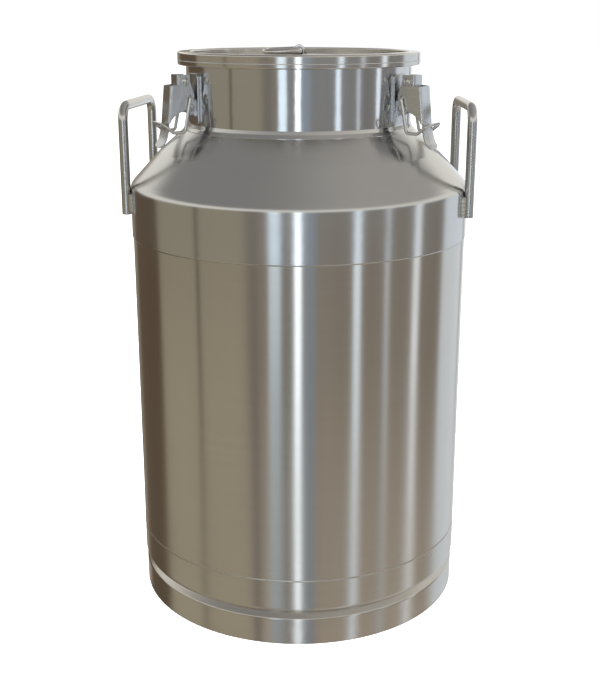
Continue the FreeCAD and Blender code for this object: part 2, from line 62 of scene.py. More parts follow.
# ------------------------------------------------------------------------------------------ outlines
class Outline:
    """A flat outline made of straight runs and arcs, kept as points in metres."""

    def __init__(self, step: float = 9 * MM, turn_step: float = 9.0, support: float = 0.5 * MM) -> None:
        """Starts an empty outline.

        Args:
            step: longest run left undivided.
            turn_step: degrees of an arc between two points.
            support: distance of the extra point that holds shading flat beside an arc.
        """
        self.step = step
        self.turn_step = turn_step
        self.support = support
        self.runs: list[Array] = []

    def to(self, x: float, y: float) -> "Outline":
        """Adds a point, joined to the last one by a straight run."""
        self.runs.append(np.array([[x, y]]))
        return self

    def arc(self, centre: Place, radius: float, start: float, end: float) -> "Outline":
        """Adds an arc: points at one radius from a centre, evenly spaced in angle.

        Args:
            centre: the arc's centre.
            radius: its radius.
            start: first angle in degrees.
            end: last angle in degrees.

        Returns:
            The outline itself.
        """
        count = max(3, int(math.ceil(abs(end - start) / self.turn_step)) + 1)
        turn = np.radians(np.linspace(start, end, count))
        ring = np.stack([centre[0] + radius * np.cos(turn), centre[1] + radius * np.sin(turn)], axis=1)
        self.runs.append(ring)
        return self

    def corner(self, x: float, y: float, radius: float) -> "Outline":
        """Adds a corner that is rounded when the outline is closed or finished."""
        self.runs.append(np.array([[x, y, radius]]))
        return self

    def points(self, closed: bool = True) -> Array:
        """Works the outline out: rounds the corners, then divides the long runs.

        A rounded corner is the arc that touches both of its runs. A run longer than the step is divided
        evenly, after a point close to each of its ends, so that smooth shading stays flat along it.

        Args:
            closed: whether the last point joins the first.

        Returns:
            Array of (n, 2) points.
        """
        rows = [self._row(row) for run in self.runs for row in run]
        made: list[Array] = []
        last = len(rows) - 1
        for i, row in enumerate(rows):
            if row[2] <= 0 or (not closed and i in (0, last)):
                made.append(row[None, :2])
                continue
            made.append(self._rounded(rows[i - 1][:2], row, rows[(i + 1) % len(rows)][:2]))
        line = np.concatenate(made)
        keep = np.ones(len(line), bool)
        keep[1:] = np.linalg.norm(np.diff(line, axis=0), axis=1) > 1e-7
        line = line[keep]
        return self._divided(line, closed)

    @staticmethod
    def _row(row: Array) -> Array:
        """A point as (x, y, corner radius)."""
        return row if len(row) == 3 else np.array([row[0], row[1], 0.0])

    def _rounded(self, before: Array, corner: Array, after: Array) -> Array:
        """Points of the arc that touches both runs of a corner."""
        here, radius = corner[:2], corner[2]
        back = (before - here) / np.linalg.norm(before - here)
        ahead = (after - here) / np.linalg.norm(after - here)
        half = math.acos(float(np.clip(back @ ahead, -1, 1))) / 2
        middle = (back + ahead) / np.linalg.norm(back + ahead)
        centre = here + middle * radius / math.sin(half)
        first = here + back * radius / math.tan(half) - centre
        sweep = math.pi - 2 * half
        side = 1.0 if back[0] * ahead[1] - back[1] * ahead[0] < 0 else -1.0
        count = max(3, int(math.ceil(math.degrees(sweep) / self.turn_step)) + 1)
        turn = math.atan2(first[1], first[0]) + side * np.linspace(0, sweep, count)
        return centre + radius * np.stack([np.cos(turn), np.sin(turn)], axis=1)

    def _divided(self, line: Array, closed: bool) -> Array:
        """Adds supporting points beside the ends of each run and divides what is still long."""
        following = np.roll(line, -1, axis=0)
        spans = line.shape[0] if closed else line.shape[0] - 1
        parts: list[Array] = []
        for a, b in zip(line[:spans], following[:spans]):
            length = float(np.linalg.norm(b - a))
            if length < 4 * self.support:
                parts.append(a[None])
                continue
            inner = np.linspace(self.support, length - self.support, max(2, int(length / self.step) + 2))
            at = np.concatenate([[0.0], inner]) / length
            parts.append(a + at[:, None] * (b - a))
        if not closed:
            parts.append(line[-1:])
        return np.concatenate(parts)


# ------------------------------------------------------------------------------------------- surfaces
@dataclass
class Shape:
    """Points and faces of a piece before they become a mesh; caps are its flat many-sided faces."""

    points: Array
    quads: Array = field(default_factory=lambda: np.zeros((0, 4), int))
    tris: Array = field(default_factory=lambda: np.zeros((0, 3), int))
    caps: list[Array] = field(default_factory=list)

    def moved(self, placing: Callable[[Array], Array]) -> "Shape":
        """The same faces on points carried to their place."""
        return Shape(placing(self.points), self.quads, self.tris, self.caps)

    def volume(self) -> float:
        """Signed volume: the sum over all triangles of a · (b × c) / 6."""
        fans = [self.tris, self.quads[:, [0, 1, 2]], self.quads[:, [0, 2, 3]]]
        for cap in self.caps:
            fans.append(np.stack([np.full(len(cap) - 2, cap[0]), cap[1:-1], cap[2:]], axis=1))
        faces = np.concatenate(fans)
        a, b, c = (self.points[faces[:, k]] for k in range(3))
        return float(np.einsum("ij,ij->i", a, np.cross(b, c)).sum() / 6)

    def outward(self) -> "Shape":
        """The same solid with its faces turned to the outside."""
        if self.volume() >= 0:
            return self
        caps = [cap[::-1] for cap in self.caps]
        return Shape(self.points, self.quads[:, ::-1], self.tris[:, ::-1], caps)


def joined(shapes: Sequence[Shape]) -> Shape:
    """Several closed shapes as one, with their point numbers shifted one after another."""
    starts = np.cumsum([0] + [len(s.points) for s in shapes[:-1]])
    caps = [cap + start for s, start in zip(shapes, starts) for cap in s.caps]
    return Shape(
        np.concatenate([s.points for s in shapes]),
        np.concatenate([s.quads + start for s, start in zip(shapes, starts)]),
        np.concatenate([s.tris + start for s, start in zip(shapes, starts)]),
        caps,
    )


def lattice(rows: int, columns: int, wrap_rows: bool, wrap_columns: bool) -> Array:
    """Quads of a grid of points numbered row by row.

    Args:
        rows: number of rows.
        columns: points in a row.
        wrap_rows: whether the last row joins the first.
        wrap_columns: whether the last column joins the first.

    Returns:
        Array of (n, 4) point numbers.
    """
    number = np.arange(rows * columns).reshape(rows, columns)
    below = np.roll(number, -1, axis=0)
    right = np.roll(number, -1, axis=1)
    across = np.roll(below, -1, axis=1)
    quads = np.stack([number, below, across, right], axis=-1)
    if not wrap_rows:
        quads = quads[:-1]
    if not wrap_columns:
        quads = quads[:, :-1]
    return quads.reshape(-1, 4)


def fan(tip: int, ring: Array) -> Array:
    """Triangles from one point to each side of a closed ring of point numbers."""
    return np.stack([np.full(len(ring), tip), ring, np.roll(ring, -1)], axis=1)


def turned(outline: Array, segments: int = 384, shift: Optional[Callable[[Array, Array], Array]] = None,
           poles: bool = False) -> Shape:
    """Surface of revolution: a (radius, height) outline carried round the can's axis.

    A point is (r cos a, r sin a, z), where r is the outline's radius plus a small shift that may depend
    on the angle a and the height z.

    Args:
        outline: (n, 2) outline; closed, or with poles an open one from the axis to the axis.
        segments: divisions of the turn.
        shift: radial shift as a function of angle and height.
        poles: whether the outline's two ends lie on the axis.

    Returns:
        The closed shape.
    """
    ring = outline[1:-1] if poles else outline
    angle = np.linspace(0, TURN, segments, endpoint=False)[:, None]
    radius = np.broadcast_to(ring[None, :, 0], (segments, len(ring)))
    height = np.broadcast_to(ring[None, :, 1], (segments, len(ring)))
    if shift is not None:
        radius = radius + shift(angle, height)
    points = np.stack([radius * np.cos(angle), radius * np.sin(angle), height], axis=-1).reshape(-1, 3)
    quads = lattice(segments, len(ring), True, not poles)
    if not poles:
        return Shape(points, quads).outward()
    tips = np.array([[0, 0, outline[0, 1]], [0, 0, outline[-1, 1]]])
    first = np.arange(segments) * len(ring)
    count = len(points)
    tris = np.concatenate([fan(count, first[::-1]), fan(count + 1, first + len(ring) - 1)])
    return Shape(np.concatenate([points, tips]), quads, tris).outward()


def tube(path: Array, radius: float | Array, reference: Sequence[float], closed: bool = False,
         sides: int = 32, end_round: float = 0.6 * MM) -> Shape:
    """Round rod along a path: circles square to the path, with rounded ends.

    Each circle is p + r (u cos a + v sin a), where u is the reference direction with its part along the
    path taken out, and v is square to both.

    Args:
        path: (n, 3) points along the rod.
        radius: one radius, or one for each point.
        reference: a direction that the path never runs along.
        closed: whether the rod joins its own start.
        sides: points round a circle.
        end_round: rounding radius of the two ends.

    Returns:
        The closed shape.
    """
    radii = np.broadcast_to(np.asarray(radius, float), (len(path),)).copy()
    if closed:
        ahead = np.roll(path, -1, axis=0) - np.roll(path, 1, axis=0)
    else:
        ahead = np.gradient(path, axis=0)
    ahead = ahead / np.linalg.norm(ahead, axis=1, keepdims=True)
    if not closed:
        turn = np.radians(np.linspace(0, 80, 6))[1:]
        reach, shrink = end_round * np.sin(turn), end_round * (1 - np.cos(turn))
        head = path[0] - ahead[0] * reach[::-1, None]
        tail = path[-1] + ahead[-1] * reach[:, None]
        radii = np.concatenate([radii[0] - shrink[::-1], radii, radii[-1] - shrink])
        ahead = np.concatenate([np.repeat(ahead[:1], 5, 0), ahead, np.repeat(ahead[-1:], 5, 0)])
        path = np.concatenate([head, path, tail])
    side = np.asarray(reference, float)
    first = side - (ahead @ side)[:, None] * ahead
    first /= np.linalg.norm(first, axis=1, keepdims=True)
    second = np.cross(ahead, first)
    angle = np.linspace(0, TURN, sides, endpoint=False)
    circle = np.cos(angle)[None, :, None] * first[:, None] + np.sin(angle)[None, :, None] * second[:, None]
    points = (path[:, None] + radii[:, None, None] * circle).reshape(-1, 3)
    quads = lattice(len(path), sides, closed, True)
    if closed:
        return Shape(points, quads).outward()
    start, end = np.arange(sides), np.arange(sides) + (len(path) - 1) * sides
    count = len(points)
    tris = np.concatenate([fan(count, start), fan(count + 1, end[::-1])])
    tips = np.stack([path[0], path[-1]])
    return Shape(np.concatenate([points, tips]), quads, tris).outward()


def slab(outline: Array, thickness: float, edge: float, steps: int = 4) -> Shape:
    """Flat plate with rounded edges, in the XY plane and from Z = 0 up.

    The outline is carried up through the thickness. Within the edge radius of each face it moves inwards
    along its own normal by edge (1 - cos t), while it rises by edge sin t.

    Args:
        outline: closed (n, 2) outline.
        thickness: of the plate.
        edge: rounding radius of both rims.
        steps: divisions of each rounding.

    Returns:
        The closed shape, with two flat caps.
    """
    ahead = np.roll(outline, -1, axis=0) - np.roll(outline, 1, axis=0)
    ahead = ahead / np.linalg.norm(ahead, axis=1, keepdims=True)
    spin = np.cross(outline, np.roll(outline, -1, axis=0)).sum()
    inward = np.stack([-ahead[:, 1], ahead[:, 0]], axis=1) * (1 if spin > 0 else -1)
    turn = np.linspace(0, math.pi / 2, steps + 1)
    lift = np.concatenate([edge - edge * np.sin(turn[::-1]), thickness - edge + edge * np.sin(turn)])
    draw = np.concatenate([edge - edge * np.cos(turn[::-1]), edge - edge * np.cos(turn)])
    flat = outline[None] + draw[:, None, None] * inward[None]
    height = np.broadcast_to(lift[:, None, None], flat.shape[:2] + (1,))
    points = np.concatenate([flat, height], axis=2).reshape(-1, 3)
    rows, count = len(lift), len(outline)
    number = np.arange(rows * count).reshape(rows, count)
    caps = [number[0][::-1], number[-1]]
    quads = lattice(rows, count, False, True)
    made = Shape(points, quads[:, ::-1], caps=caps)
    return made.outward()


def folded(outer: Array, inner: Array, half: Array, bend: float, web: tuple[int, int],
           cheeks: tuple[int, int], steps: int = 14) -> tuple[Array, Array]:
    """Outer side of a channel bent from one sheet: a cheek, a web and a cheek.

    Row u of the grid runs from inner(u) to outer(u) in the cheek's plane, turns a quarter circle, crosses
    the web and comes back on the other side. Its third coordinate is the distance to the side.

    Args:
        outer: (n, 2) line of the web, from the top down.
        inner: (n, 2) free edge of the cheeks, row for row.
        half: half width over the cheeks, row for row.
        bend: radius of the two folds.
        web: first and last row that have a web.
        cheeks: first and last row that have cheeks and folds.
        steps: divisions of a cheek.

    Returns:
        (points, quads) of the open surface.
    """
    gap = outer - inner
    length = np.linalg.norm(gap, axis=1)
    way = gap / length[:, None]
    bends = np.minimum(bend, 0.9 * length)
    run = np.linspace(0, 1, steps + 1)[None] * (length - bends)[:, None]
    turn = np.linspace(0, math.pi / 2, 7)[1:]
    fold_run = (length - bends)[:, None] + bends[:, None] * np.sin(turn)[None]
    fold_side = half[:, None] - bends[:, None] * (1 - np.cos(turn)[None])
    web_side = (half - bends)[:, None] * np.linspace(1, -1, 9)[None, 1:-1]
    web_run = np.repeat(length[:, None], web_side.shape[1], axis=1)
    edge_side = np.repeat(half[:, None], steps + 1, axis=1)
    run_all = np.concatenate([run, fold_run, web_run, fold_run[:, ::-1], run[:, ::-1]], axis=1)
    side_all = np.concatenate([edge_side, fold_side, web_side, -fold_side[:, ::-1], -edge_side], axis=1)
    flat = inner[:, None] + run_all[..., None] * way[:, None]
    points = np.concatenate([flat, side_all[..., None]], axis=2)
    rows, columns = side_all.shape
    quads = lattice(rows, columns, False, False).reshape(rows - 1, columns - 1, 4)
    row = np.arange(rows - 1)[:, None]
    column = np.arange(columns - 1)[None]
    first = steps + turn.size
    on_web = (column >= first) & (column < columns - 1 - first)
    keep = np.where(on_web, (row >= web[0]) & (row < web[1]), (row >= cheeks[0]) & (row < cheeks[1]))
    return points.reshape(-1, 3), quads[keep]


def both_sides(flat: Shape, start: float, way: int) -> list[Shape]:
    """A flat plate and its mirror image, set on edge at a distance to each side.

    Args:
        flat: plate in (radius, height, thickness).
        start: distance from the middle to the plate's first face.
        way: 1 where the thickness goes outwards from there, -1 where it goes inwards.

    Returns:
        The two closed shapes.
    """
    def set_at(side: int) -> Shape:
        """The plate on one side."""
        return flat.moved(lambda p: np.stack([p[:, 0], p[:, 1], side * (start + way * p[:, 2])], axis=1))

    return [set_at(1).outward(), set_at(-1).outward()]


def rounded_path(corners: Sequence[Sequence[float]], bend: float, closed: bool = False, step: float = 4 * MM,
                 turn_step: float = 9.0) -> Array:
    """Points along straight runs joined by tangent arcs of one radius.

    Args:
        corners: the route's corners.
        bend: radius of every arc.
        closed: whether the route comes back to its start.
        step: distance between points on a run.
        turn_step: degrees between points of an arc.

    Returns:
        (n, 3) points.
    """
    rows = [np.asarray(c, float) for c in corners]
    stops: list[tuple[Array, Array]] = []
    for i, here in enumerate(rows):
        if not closed and i in (0, len(rows) - 1):
            stops.append((here, here[None]))
            continue
        back = rows[i - 1] - here
        ahead = rows[(i + 1) % len(rows)] - here
        back, ahead = back / np.linalg.norm(back), ahead / np.linalg.norm(ahead)
        half = math.acos(float(np.clip(back @ ahead, -1, 1))) / 2
        middle = (back + ahead) / np.linalg.norm(back + ahead)
        centre = here + middle * bend / math.sin(half)
        first = (here + back * bend / math.tan(half) - centre) / bend
        sweep = math.pi - 2 * half
        last = (here + ahead * bend / math.tan(half) - centre) / bend
        square = (last - first * math.cos(sweep)) / math.sin(sweep)
        turn = np.linspace(0, sweep, max(4, int(math.degrees(sweep) / turn_step) + 1))[:, None]
        arc = centre + bend * (np.cos(turn) * first + np.sin(turn) * square)
        stops.append((arc[0], arc))
    parts: list[Array] = []
    for i, (_, arc) in enumerate(stops):
        parts.append(arc)
        if i == len(stops) - 1 and not closed:
            break
        target = stops[(i + 1) % len(stops)][0]
        gap = float(np.linalg.norm(target - arc[-1]))
        count = max(2, int(gap / step))
        share = np.linspace(0, 1, count, endpoint=False)[1:, None]
        parts.append(arc[-1] + share * (target - arc[-1]))
    return np.concatenate(parts)


# ------------------------------------------------------------------------------------- making objects
class Slot(Enum):
    """Material slots, one for each finish."""

    BRUSHED_WALL = "brushed_wall"
    SHOULDER_SATIN = "shoulder_satin"
    NECK_POLISH = "neck_polish"
    TURNED_RIM = "turned_rim"
    FOOT_SATIN = "foot_satin"
    WELD_BEAD = "weld_bead"
    HANDLE_ROD = "handle_rod"
    LID_SHEET = "lid_sheet"
    GASKET_RUBBER = "gasket_rubber"
    LID_FITTING = "lid_fitting"
    LATCH_SHEET = "latch_sheet"
    LATCH_PIN = "latch_pin"
    LATCH_WIRE = "latch_wire"


@dataclass(frozen=True)
class Edge:
    """Rounded edges given to a folded or cut sheet: width in metres and divisions."""

    width: float
    segments: int = 2
    angle: float = 35.0


def mesh_object(name: str, shape: Shape) -> bpy.types.Object:
    """Makes an object from a shape.

    Args:
        name: of the object.
        shape: points and faces, in metres and in place.

    Returns:
        The object, linked to the scene.
    """
    mesh = bpy.data.meshes.new(name)
    faces = shape.quads.tolist() + shape.tris.tolist() + [cap.tolist() for cap in shape.caps]
    mesh.from_pydata(shape.points.tolist(), [], faces)
    smooth = np.ones(len(faces), bool)
    if shape.caps:
        smooth[-len(shape.caps):] = False
    mesh.polygons.foreach_set("use_smooth", smooth)
    mesh.update()
    made = bpy.data.objects.new(name, mesh)
    bpy.context.scene.collection.objects.link(made)
    return made


class Workshop:
    """Makes pieces, gives each the material of its slot and a body to ride on, and hides the model's nodes
    they stand for.
    """

    def __init__(self, materials: dict[Slot, bpy.types.Material]) -> None:
        """Starts with the materials of every slot."""
        self.materials = materials
        self.made: list[bpy.types.Object] = []

    def place(self, name: str, shape: Shape, slot: Slot, body: str, nodes: Iterable[str]) -> bpy.types.Object:
        """Makes a piece, hides the nodes it stands for and keeps it in the list of made pieces.

        Args:
            name: of the piece.
            shape: its surface, in place.
            slot: the material slot whose material it gets.
            body: the body it rides on.
            nodes: the model's nodes it stands for.

        Returns:
            The object.
        """
        made = mesh_object(name, shape)
        made.data.materials.append(self.materials[slot])
        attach(made, body)
        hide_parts(*nodes)
        self.made.append(made)
        LOG.info("%s: %d faces, on %s", made.name, len(made.data.polygons), body)
        return made


def span(node: str, axis: int) -> tuple[float, float]:
    """Lowest and highest coordinate of a node along one axis."""
    low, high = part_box(node)
    return low[axis], high[axis]


def reach(node: str) -> float:
    """Outer radius of a turned node, from its own box."""
    return span(node, 0)[1]


def ripple(angle: Array, seeds: Sequence[tuple[int, float]]) -> Array:
    """Sum of sines round the can, from 0 to 1: each seed is a whole number of waves and a phase."""
    total = sum(np.sin(waves * angle + phase) for waves, phase in seeds)
    return 0.5 + 0.5 * total / len(seeds)


# -------------------------------------------------------------------------------------------- can body
@dataclass(frozen=True)
class ShellSizes:
    """Sizes of the turned shells. A nick is (azimuth in degrees, rise) and its width is in degrees."""

    body_wall: float = 1.5 * MM
    bottom_wall: float = 2.0 * MM
    knuckle: float = 5.0 * MM
    seat: float = 10.0 * MM
    dish_flat: float = 60.0 * MM
    shoulder_wall: float = 2.0 * MM
    edge_radius: float = 11.0 * MM
    crown_radius: float = 380.0 * MM
    crown_slope: float = 38.0
    band_height: float = 49.3 * MM
    neck_wall: float = 1.5 * MM
    mouth_edge: float = 1.4 * MM
    neck_bead: float = 4.0 * MM
    seam_rise: float = 0.35 * MM
    out_of_round: float = 0.25 * MM
    neck_waver: float = 0.12 * MM
    foot_wall: float = 2.5 * MM
    foot_slope: float = 6.5 * MM
    foot_drop: float = 8.0 * MM
    foot_land: float = 5.0 * MM
    bead_root: float = 0.3 * MM
    scale_depth: float = 0.06 * MM
    nick_width: float = 0.25
    nicks: tuple[tuple[float, float], ...] = ((-104.2, 0.22 * MM), (-103.1, 0.28 * MM), (-102.2, 0.18 * MM))
    seam_segments: int = 1440
    neck_bead_segments: int = 720


class CanBody:
    """Body, bottom, shoulder, neck, mouth ring, foot ring and the welds that join them."""

    BODY = "can"

    def __init__(self, shop: Workshop, sizes: ShellSizes = ShellSizes()) -> None:
        """Reads the can's radii and levels from the model's own boxes."""
        self.shop = shop
        self.sizes = sizes
        self.radius = reach("body_shell")
        self.band = reach("shoulder_shell")
        self.neck = reach("neck_tube")
        self.low_seam, self.high_seam = span("body_shell", 2)
        self.shoulder_top = span("shoulder_shell", 2)[1]
        self.neck_top = span("neck_tube", 2)[1]

    def build(self) -> None:
        """Makes every piece of the can body."""
        self.wall()
        self.bottom()
        self.shoulder()
        self.neck_and_mouth()
        self.foot()
        self.seams()

    def sway(self, angle: Array, height: Array) -> Array:
        """Inward shift of a rolled wall, a sum of two slow waves round the can, none at the two seams.

        The shift is -depth * w(angle) * sin(pi * share of the height), with w from 0 to 1.
        """
        share = np.clip((height - self.low_seam) / (self.high_seam - self.low_seam), 0, 1)
        wave = ripple(angle + 0.35 * share, ((3, 0.4), (5, 2.1), (7, 4.0)))
        return -self.sizes.out_of_round * wave * np.sin(math.pi * share)

    def wall(self) -> None:
        """Rolled cylinder between the seams."""
        inner = self.radius - self.sizes.body_wall
        line = Outline().to(inner, self.low_seam).to(self.radius, self.low_seam)
        line.to(self.radius, self.high_seam).to(inner, self.high_seam)
        shape = turned(line.points(), shift=self.sway)
        self.shop.place("can_wall", shape, Slot.BRUSHED_WALL, self.BODY, ["body_shell"])

    def bottom(self) -> None:
        """Skirt, knuckle, seat and sagging floor, from the axis outside round to the axis inside."""
        s = self.sizes
        low, _ = span("bottom_dish", 2)
        seat_z = span("foot_ring", 2)[1]
        knuckle_r, knuckle_z = self.radius - s.knuckle, seat_z + s.knuckle
        line = Outline().to(0, low).corner(s.dish_flat, low, 20 * MM)
        line.corner(knuckle_r - s.seat, seat_z, 3 * MM)
        line.arc((knuckle_r, knuckle_z), s.knuckle, -90, 0)
        line.to(self.radius, self.low_seam).to(self.radius - s.bottom_wall, self.low_seam)
        line.arc((knuckle_r, knuckle_z), s.knuckle - s.bottom_wall, 0, -90)
        line.corner(knuckle_r - s.seat, seat_z + s.bottom_wall, 3 * MM)
        line.corner(s.dish_flat, low + s.bottom_wall, 20 * MM).to(0, low + s.bottom_wall)
        shape = turned(line.points(closed=False), poles=True)
        self.shop.place("can_bottom", shape, Slot.BRUSHED_WALL, self.BODY, ["bottom_dish"])

    def crown(self) -> tuple[Place, Place, float, float]:
        """Centres of the edge arc and the crown arc, the angle where they meet and the one at the neck."""
        s = self.sizes
        edge = (self.band - s.edge_radius, self.high_seam + s.band_height)
        out = self.neck - s.crown_radius * math.sin(math.radians(s.crown_slope))
        rise = math.sqrt((s.crown_radius - s.edge_radius) ** 2 - (edge[0] - out) ** 2)
        centre = (out, edge[1] - rise)
        meet = math.degrees(math.atan2(rise, edge[0] - out))
        at_neck = math.degrees(math.acos((self.neck - out) / s.crown_radius))
        return edge, centre, meet, at_neck

    def shoulder(self) -> None:
        """Band, rounded edge and crowned cone in one sheet."""
        s = self.sizes
        edge, centre, meet, at_neck = self.crown()
        inner_end = math.degrees(math.acos((self.neck - centre[0]) / (s.crown_radius - s.shoulder_wall)))
        line = Outline(turn_step=7).to(self.band, self.high_seam)
        line.arc(edge, s.edge_radius, 0, meet)
        line.arc(centre, s.crown_radius, meet + 0.6, at_neck)
        line.arc(centre, s.crown_radius - s.shoulder_wall, inner_end, meet + 0.6)
        line.arc(edge, s.edge_radius - s.shoulder_wall, meet, 0)
        line.to(self.band - s.shoulder_wall, self.high_seam)
        shape = turned(line.points())
        self.shop.place("shoulder", shape, Slot.SHOULDER_SATIN, self.BODY, ["shoulder_shell"])

    def neck_and_mouth(self) -> None:
        """Neck tube and the flat ring on top of it."""
        s = self.sizes
        inner = self.neck - s.neck_wall
        low = span("neck_tube", 2)[0]
        tube_line = Outline().to(inner, low).to(self.neck, low).to(self.neck, self.neck_top)
        tube_line.to(inner, self.neck_top)
        shape = turned(tube_line.points(), shift=self.neck_flare)
        self.shop.place("neck", shape, Slot.NECK_POLISH, self.BODY, ["neck_tube"])
        top, outer = span("mouth_ring", 2)[1], reach("mouth_ring")
        ring = Outline(support=0.15 * MM).to(inner, self.neck_top).corner(outer, self.neck_top, s.mouth_edge)
        ring.corner(outer, top, 0.15 * MM).corner(inner, top, 0.4 * MM)
        self.shop.place("mouth_flange", turned(ring.points()), Slot.TURNED_RIM, self.BODY, ["mouth_ring"])

    def neck_flare(self, angle: Array, height: Array) -> Array:
        """Shift of the neck, always inwards: two slow waves round it."""
        return -self.sizes.neck_waver * ripple(angle, ((4, 1.0), (6, 3.3))) + 0 * height

    def foot(self) -> None:
        """Rolled hoop with a sloping shoulder, and the fillet that joins it to the bottom."""
        s = self.sizes
        outer, top = reach("foot_ring"), span("foot_ring", 2)[1]
        wall, slope, drop, land = s.foot_wall, s.foot_slope, s.foot_drop, s.foot_land
        line = Outline(support=0.3 * MM).corner(outer - wall, 0, 0.6 * MM).corner(outer, 0, 1.0 * MM)
        line.corner(outer, top - drop, 3.0 * MM).corner(outer - slope, top, 1.2 * MM)
        line.corner(outer - slope - land, top, 0.6 * MM)
        line.corner(outer - slope - land, top - wall, 0.6 * MM)
        line.corner(outer - slope - wall / 2, top - wall, 0.8 * MM)
        line.corner(outer - wall, top - drop - wall / 2, 2.0 * MM)
        self.shop.place("foot_hoop", turned(line.points()), Slot.FOOT_SATIN, self.BODY, ["foot_ring"])
        inside = outer - slope - land
        fillet = Outline(support=0.1 * MM).to(inside, top).corner(inside, top - 2 * MM, 0.3 * MM)
        fillet.corner(inside - 2 * MM, top, 0.3 * MM)
        self.shop.place("foot_fillet", turned(fillet.points()), Slot.WELD_BEAD, self.BODY, ["foot_weld"])

    def seams(self) -> None:
        """Beads at the lower seam, under the shoulder band and in the corner of neck and shoulder."""
        s = self.sizes
        half = span("lower_seam_weld", 2)[1] - self.low_seam
        low = Outline(support=0.05 * MM).to(self.radius - s.bead_root, self.low_seam - half)
        low.corner(self.radius + 0.1 * MM, self.low_seam - half, 0.05 * MM)
        low.corner(self.radius + s.seam_rise, self.low_seam, 0.5 * MM)
        low.corner(self.radius + 0.1 * MM, self.low_seam + half, 0.05 * MM)
        low.to(self.radius - s.bead_root, self.low_seam + half)
        shape = turned(low.points(), s.seam_segments, self.nicked_scales)
        self.shop.place("lower_seam_bead", shape, Slot.WELD_BEAD, self.BODY, ["lower_seam_weld"])
        step = self.band - self.radius
        high = Outline(support=0.05 * MM).to(self.radius - s.bead_root, self.high_seam)
        high.to(self.radius - s.bead_root, self.high_seam - step)
        high.corner(self.radius + 0.05 * MM, self.high_seam - step, 0.1 * MM)
        high.corner(self.band - 0.05 * MM, self.high_seam, 0.1 * MM)
        shape = turned(high.points(), s.seam_segments, self.bead_scales)
        self.shop.place("upper_seam_bead", shape, Slot.WELD_BEAD, self.BODY, ["upper_seam_weld"])
        _, centre, _, _ = self.crown()
        leg = s.neck_bead
        foot_r = self.neck + leg
        foot_z = centre[1] + math.sqrt(s.crown_radius ** 2 - (foot_r - centre[0]) ** 2)
        bead = Outline(support=0.2 * MM).to(self.neck - s.bead_root, self.shoulder_top - 1 * MM)
        bead.to(foot_r, foot_z - 1 * MM).corner(foot_r, foot_z + 0.15 * MM, 0.15 * MM)
        hollow_r, hollow_z = self.neck + leg * 0.36, (self.shoulder_top + foot_z) / 2 + leg * 0.42
        bead.corner(hollow_r, hollow_z, 3.2 * MM)
        bead.corner(self.neck + 0.1 * MM, self.shoulder_top + leg, 0.15 * MM)
        bead.to(self.neck - s.bead_root, self.shoulder_top + leg)
        shape = turned(bead.points(), s.neck_bead_segments)
        self.shop.place("neck_bead", shape, Slot.SHOULDER_SATIN, self.BODY, ["neck_weld"])

    def bead_scales(self, angle: Array, height: Array) -> Array:
        """Fine overlapping ripples of a dressed weld: minus the depth times a rounded saw of the angle."""
        saw = np.abs(np.sin(180 * angle + 0.6 * np.sin(11 * angle)))
        fade = ripple(angle, ((3, 0.2), (8, 1.9)))
        return -self.sizes.scale_depth * (1 - saw) * (0.4 + 0.6 * fade) + 0 * height

    def nicked_scales(self, angle: Array, height: Array) -> Array:
        """The weld's ripples with raised nicks: each adds rise times exp(-(angle away / width) squared)."""
        scales = self.bead_scales(angle, height)
        for place, rise in self.sizes.nicks:
            away = np.angle(np.exp(1j * (angle - math.radians(place))))
            scales = scales + rise * np.exp(-(away / math.radians(self.sizes.nick_width)) ** 2)
        return scales


# --------------------------------------------------------------------------------------- side handles
@dataclass(frozen=True)
class HandleSizes:
    """Sizes of a side handle."""

    rod: float = 5.0 * MM
    half_span: float = 60.0 * MM
    bend: float = 15.0 * MM
    bead_radius: float = 4.0 * MM
    bead_length: float = 22.0 * MM
    bead_lift: float = 1.0 * MM
    bead_seat: float = 0.72


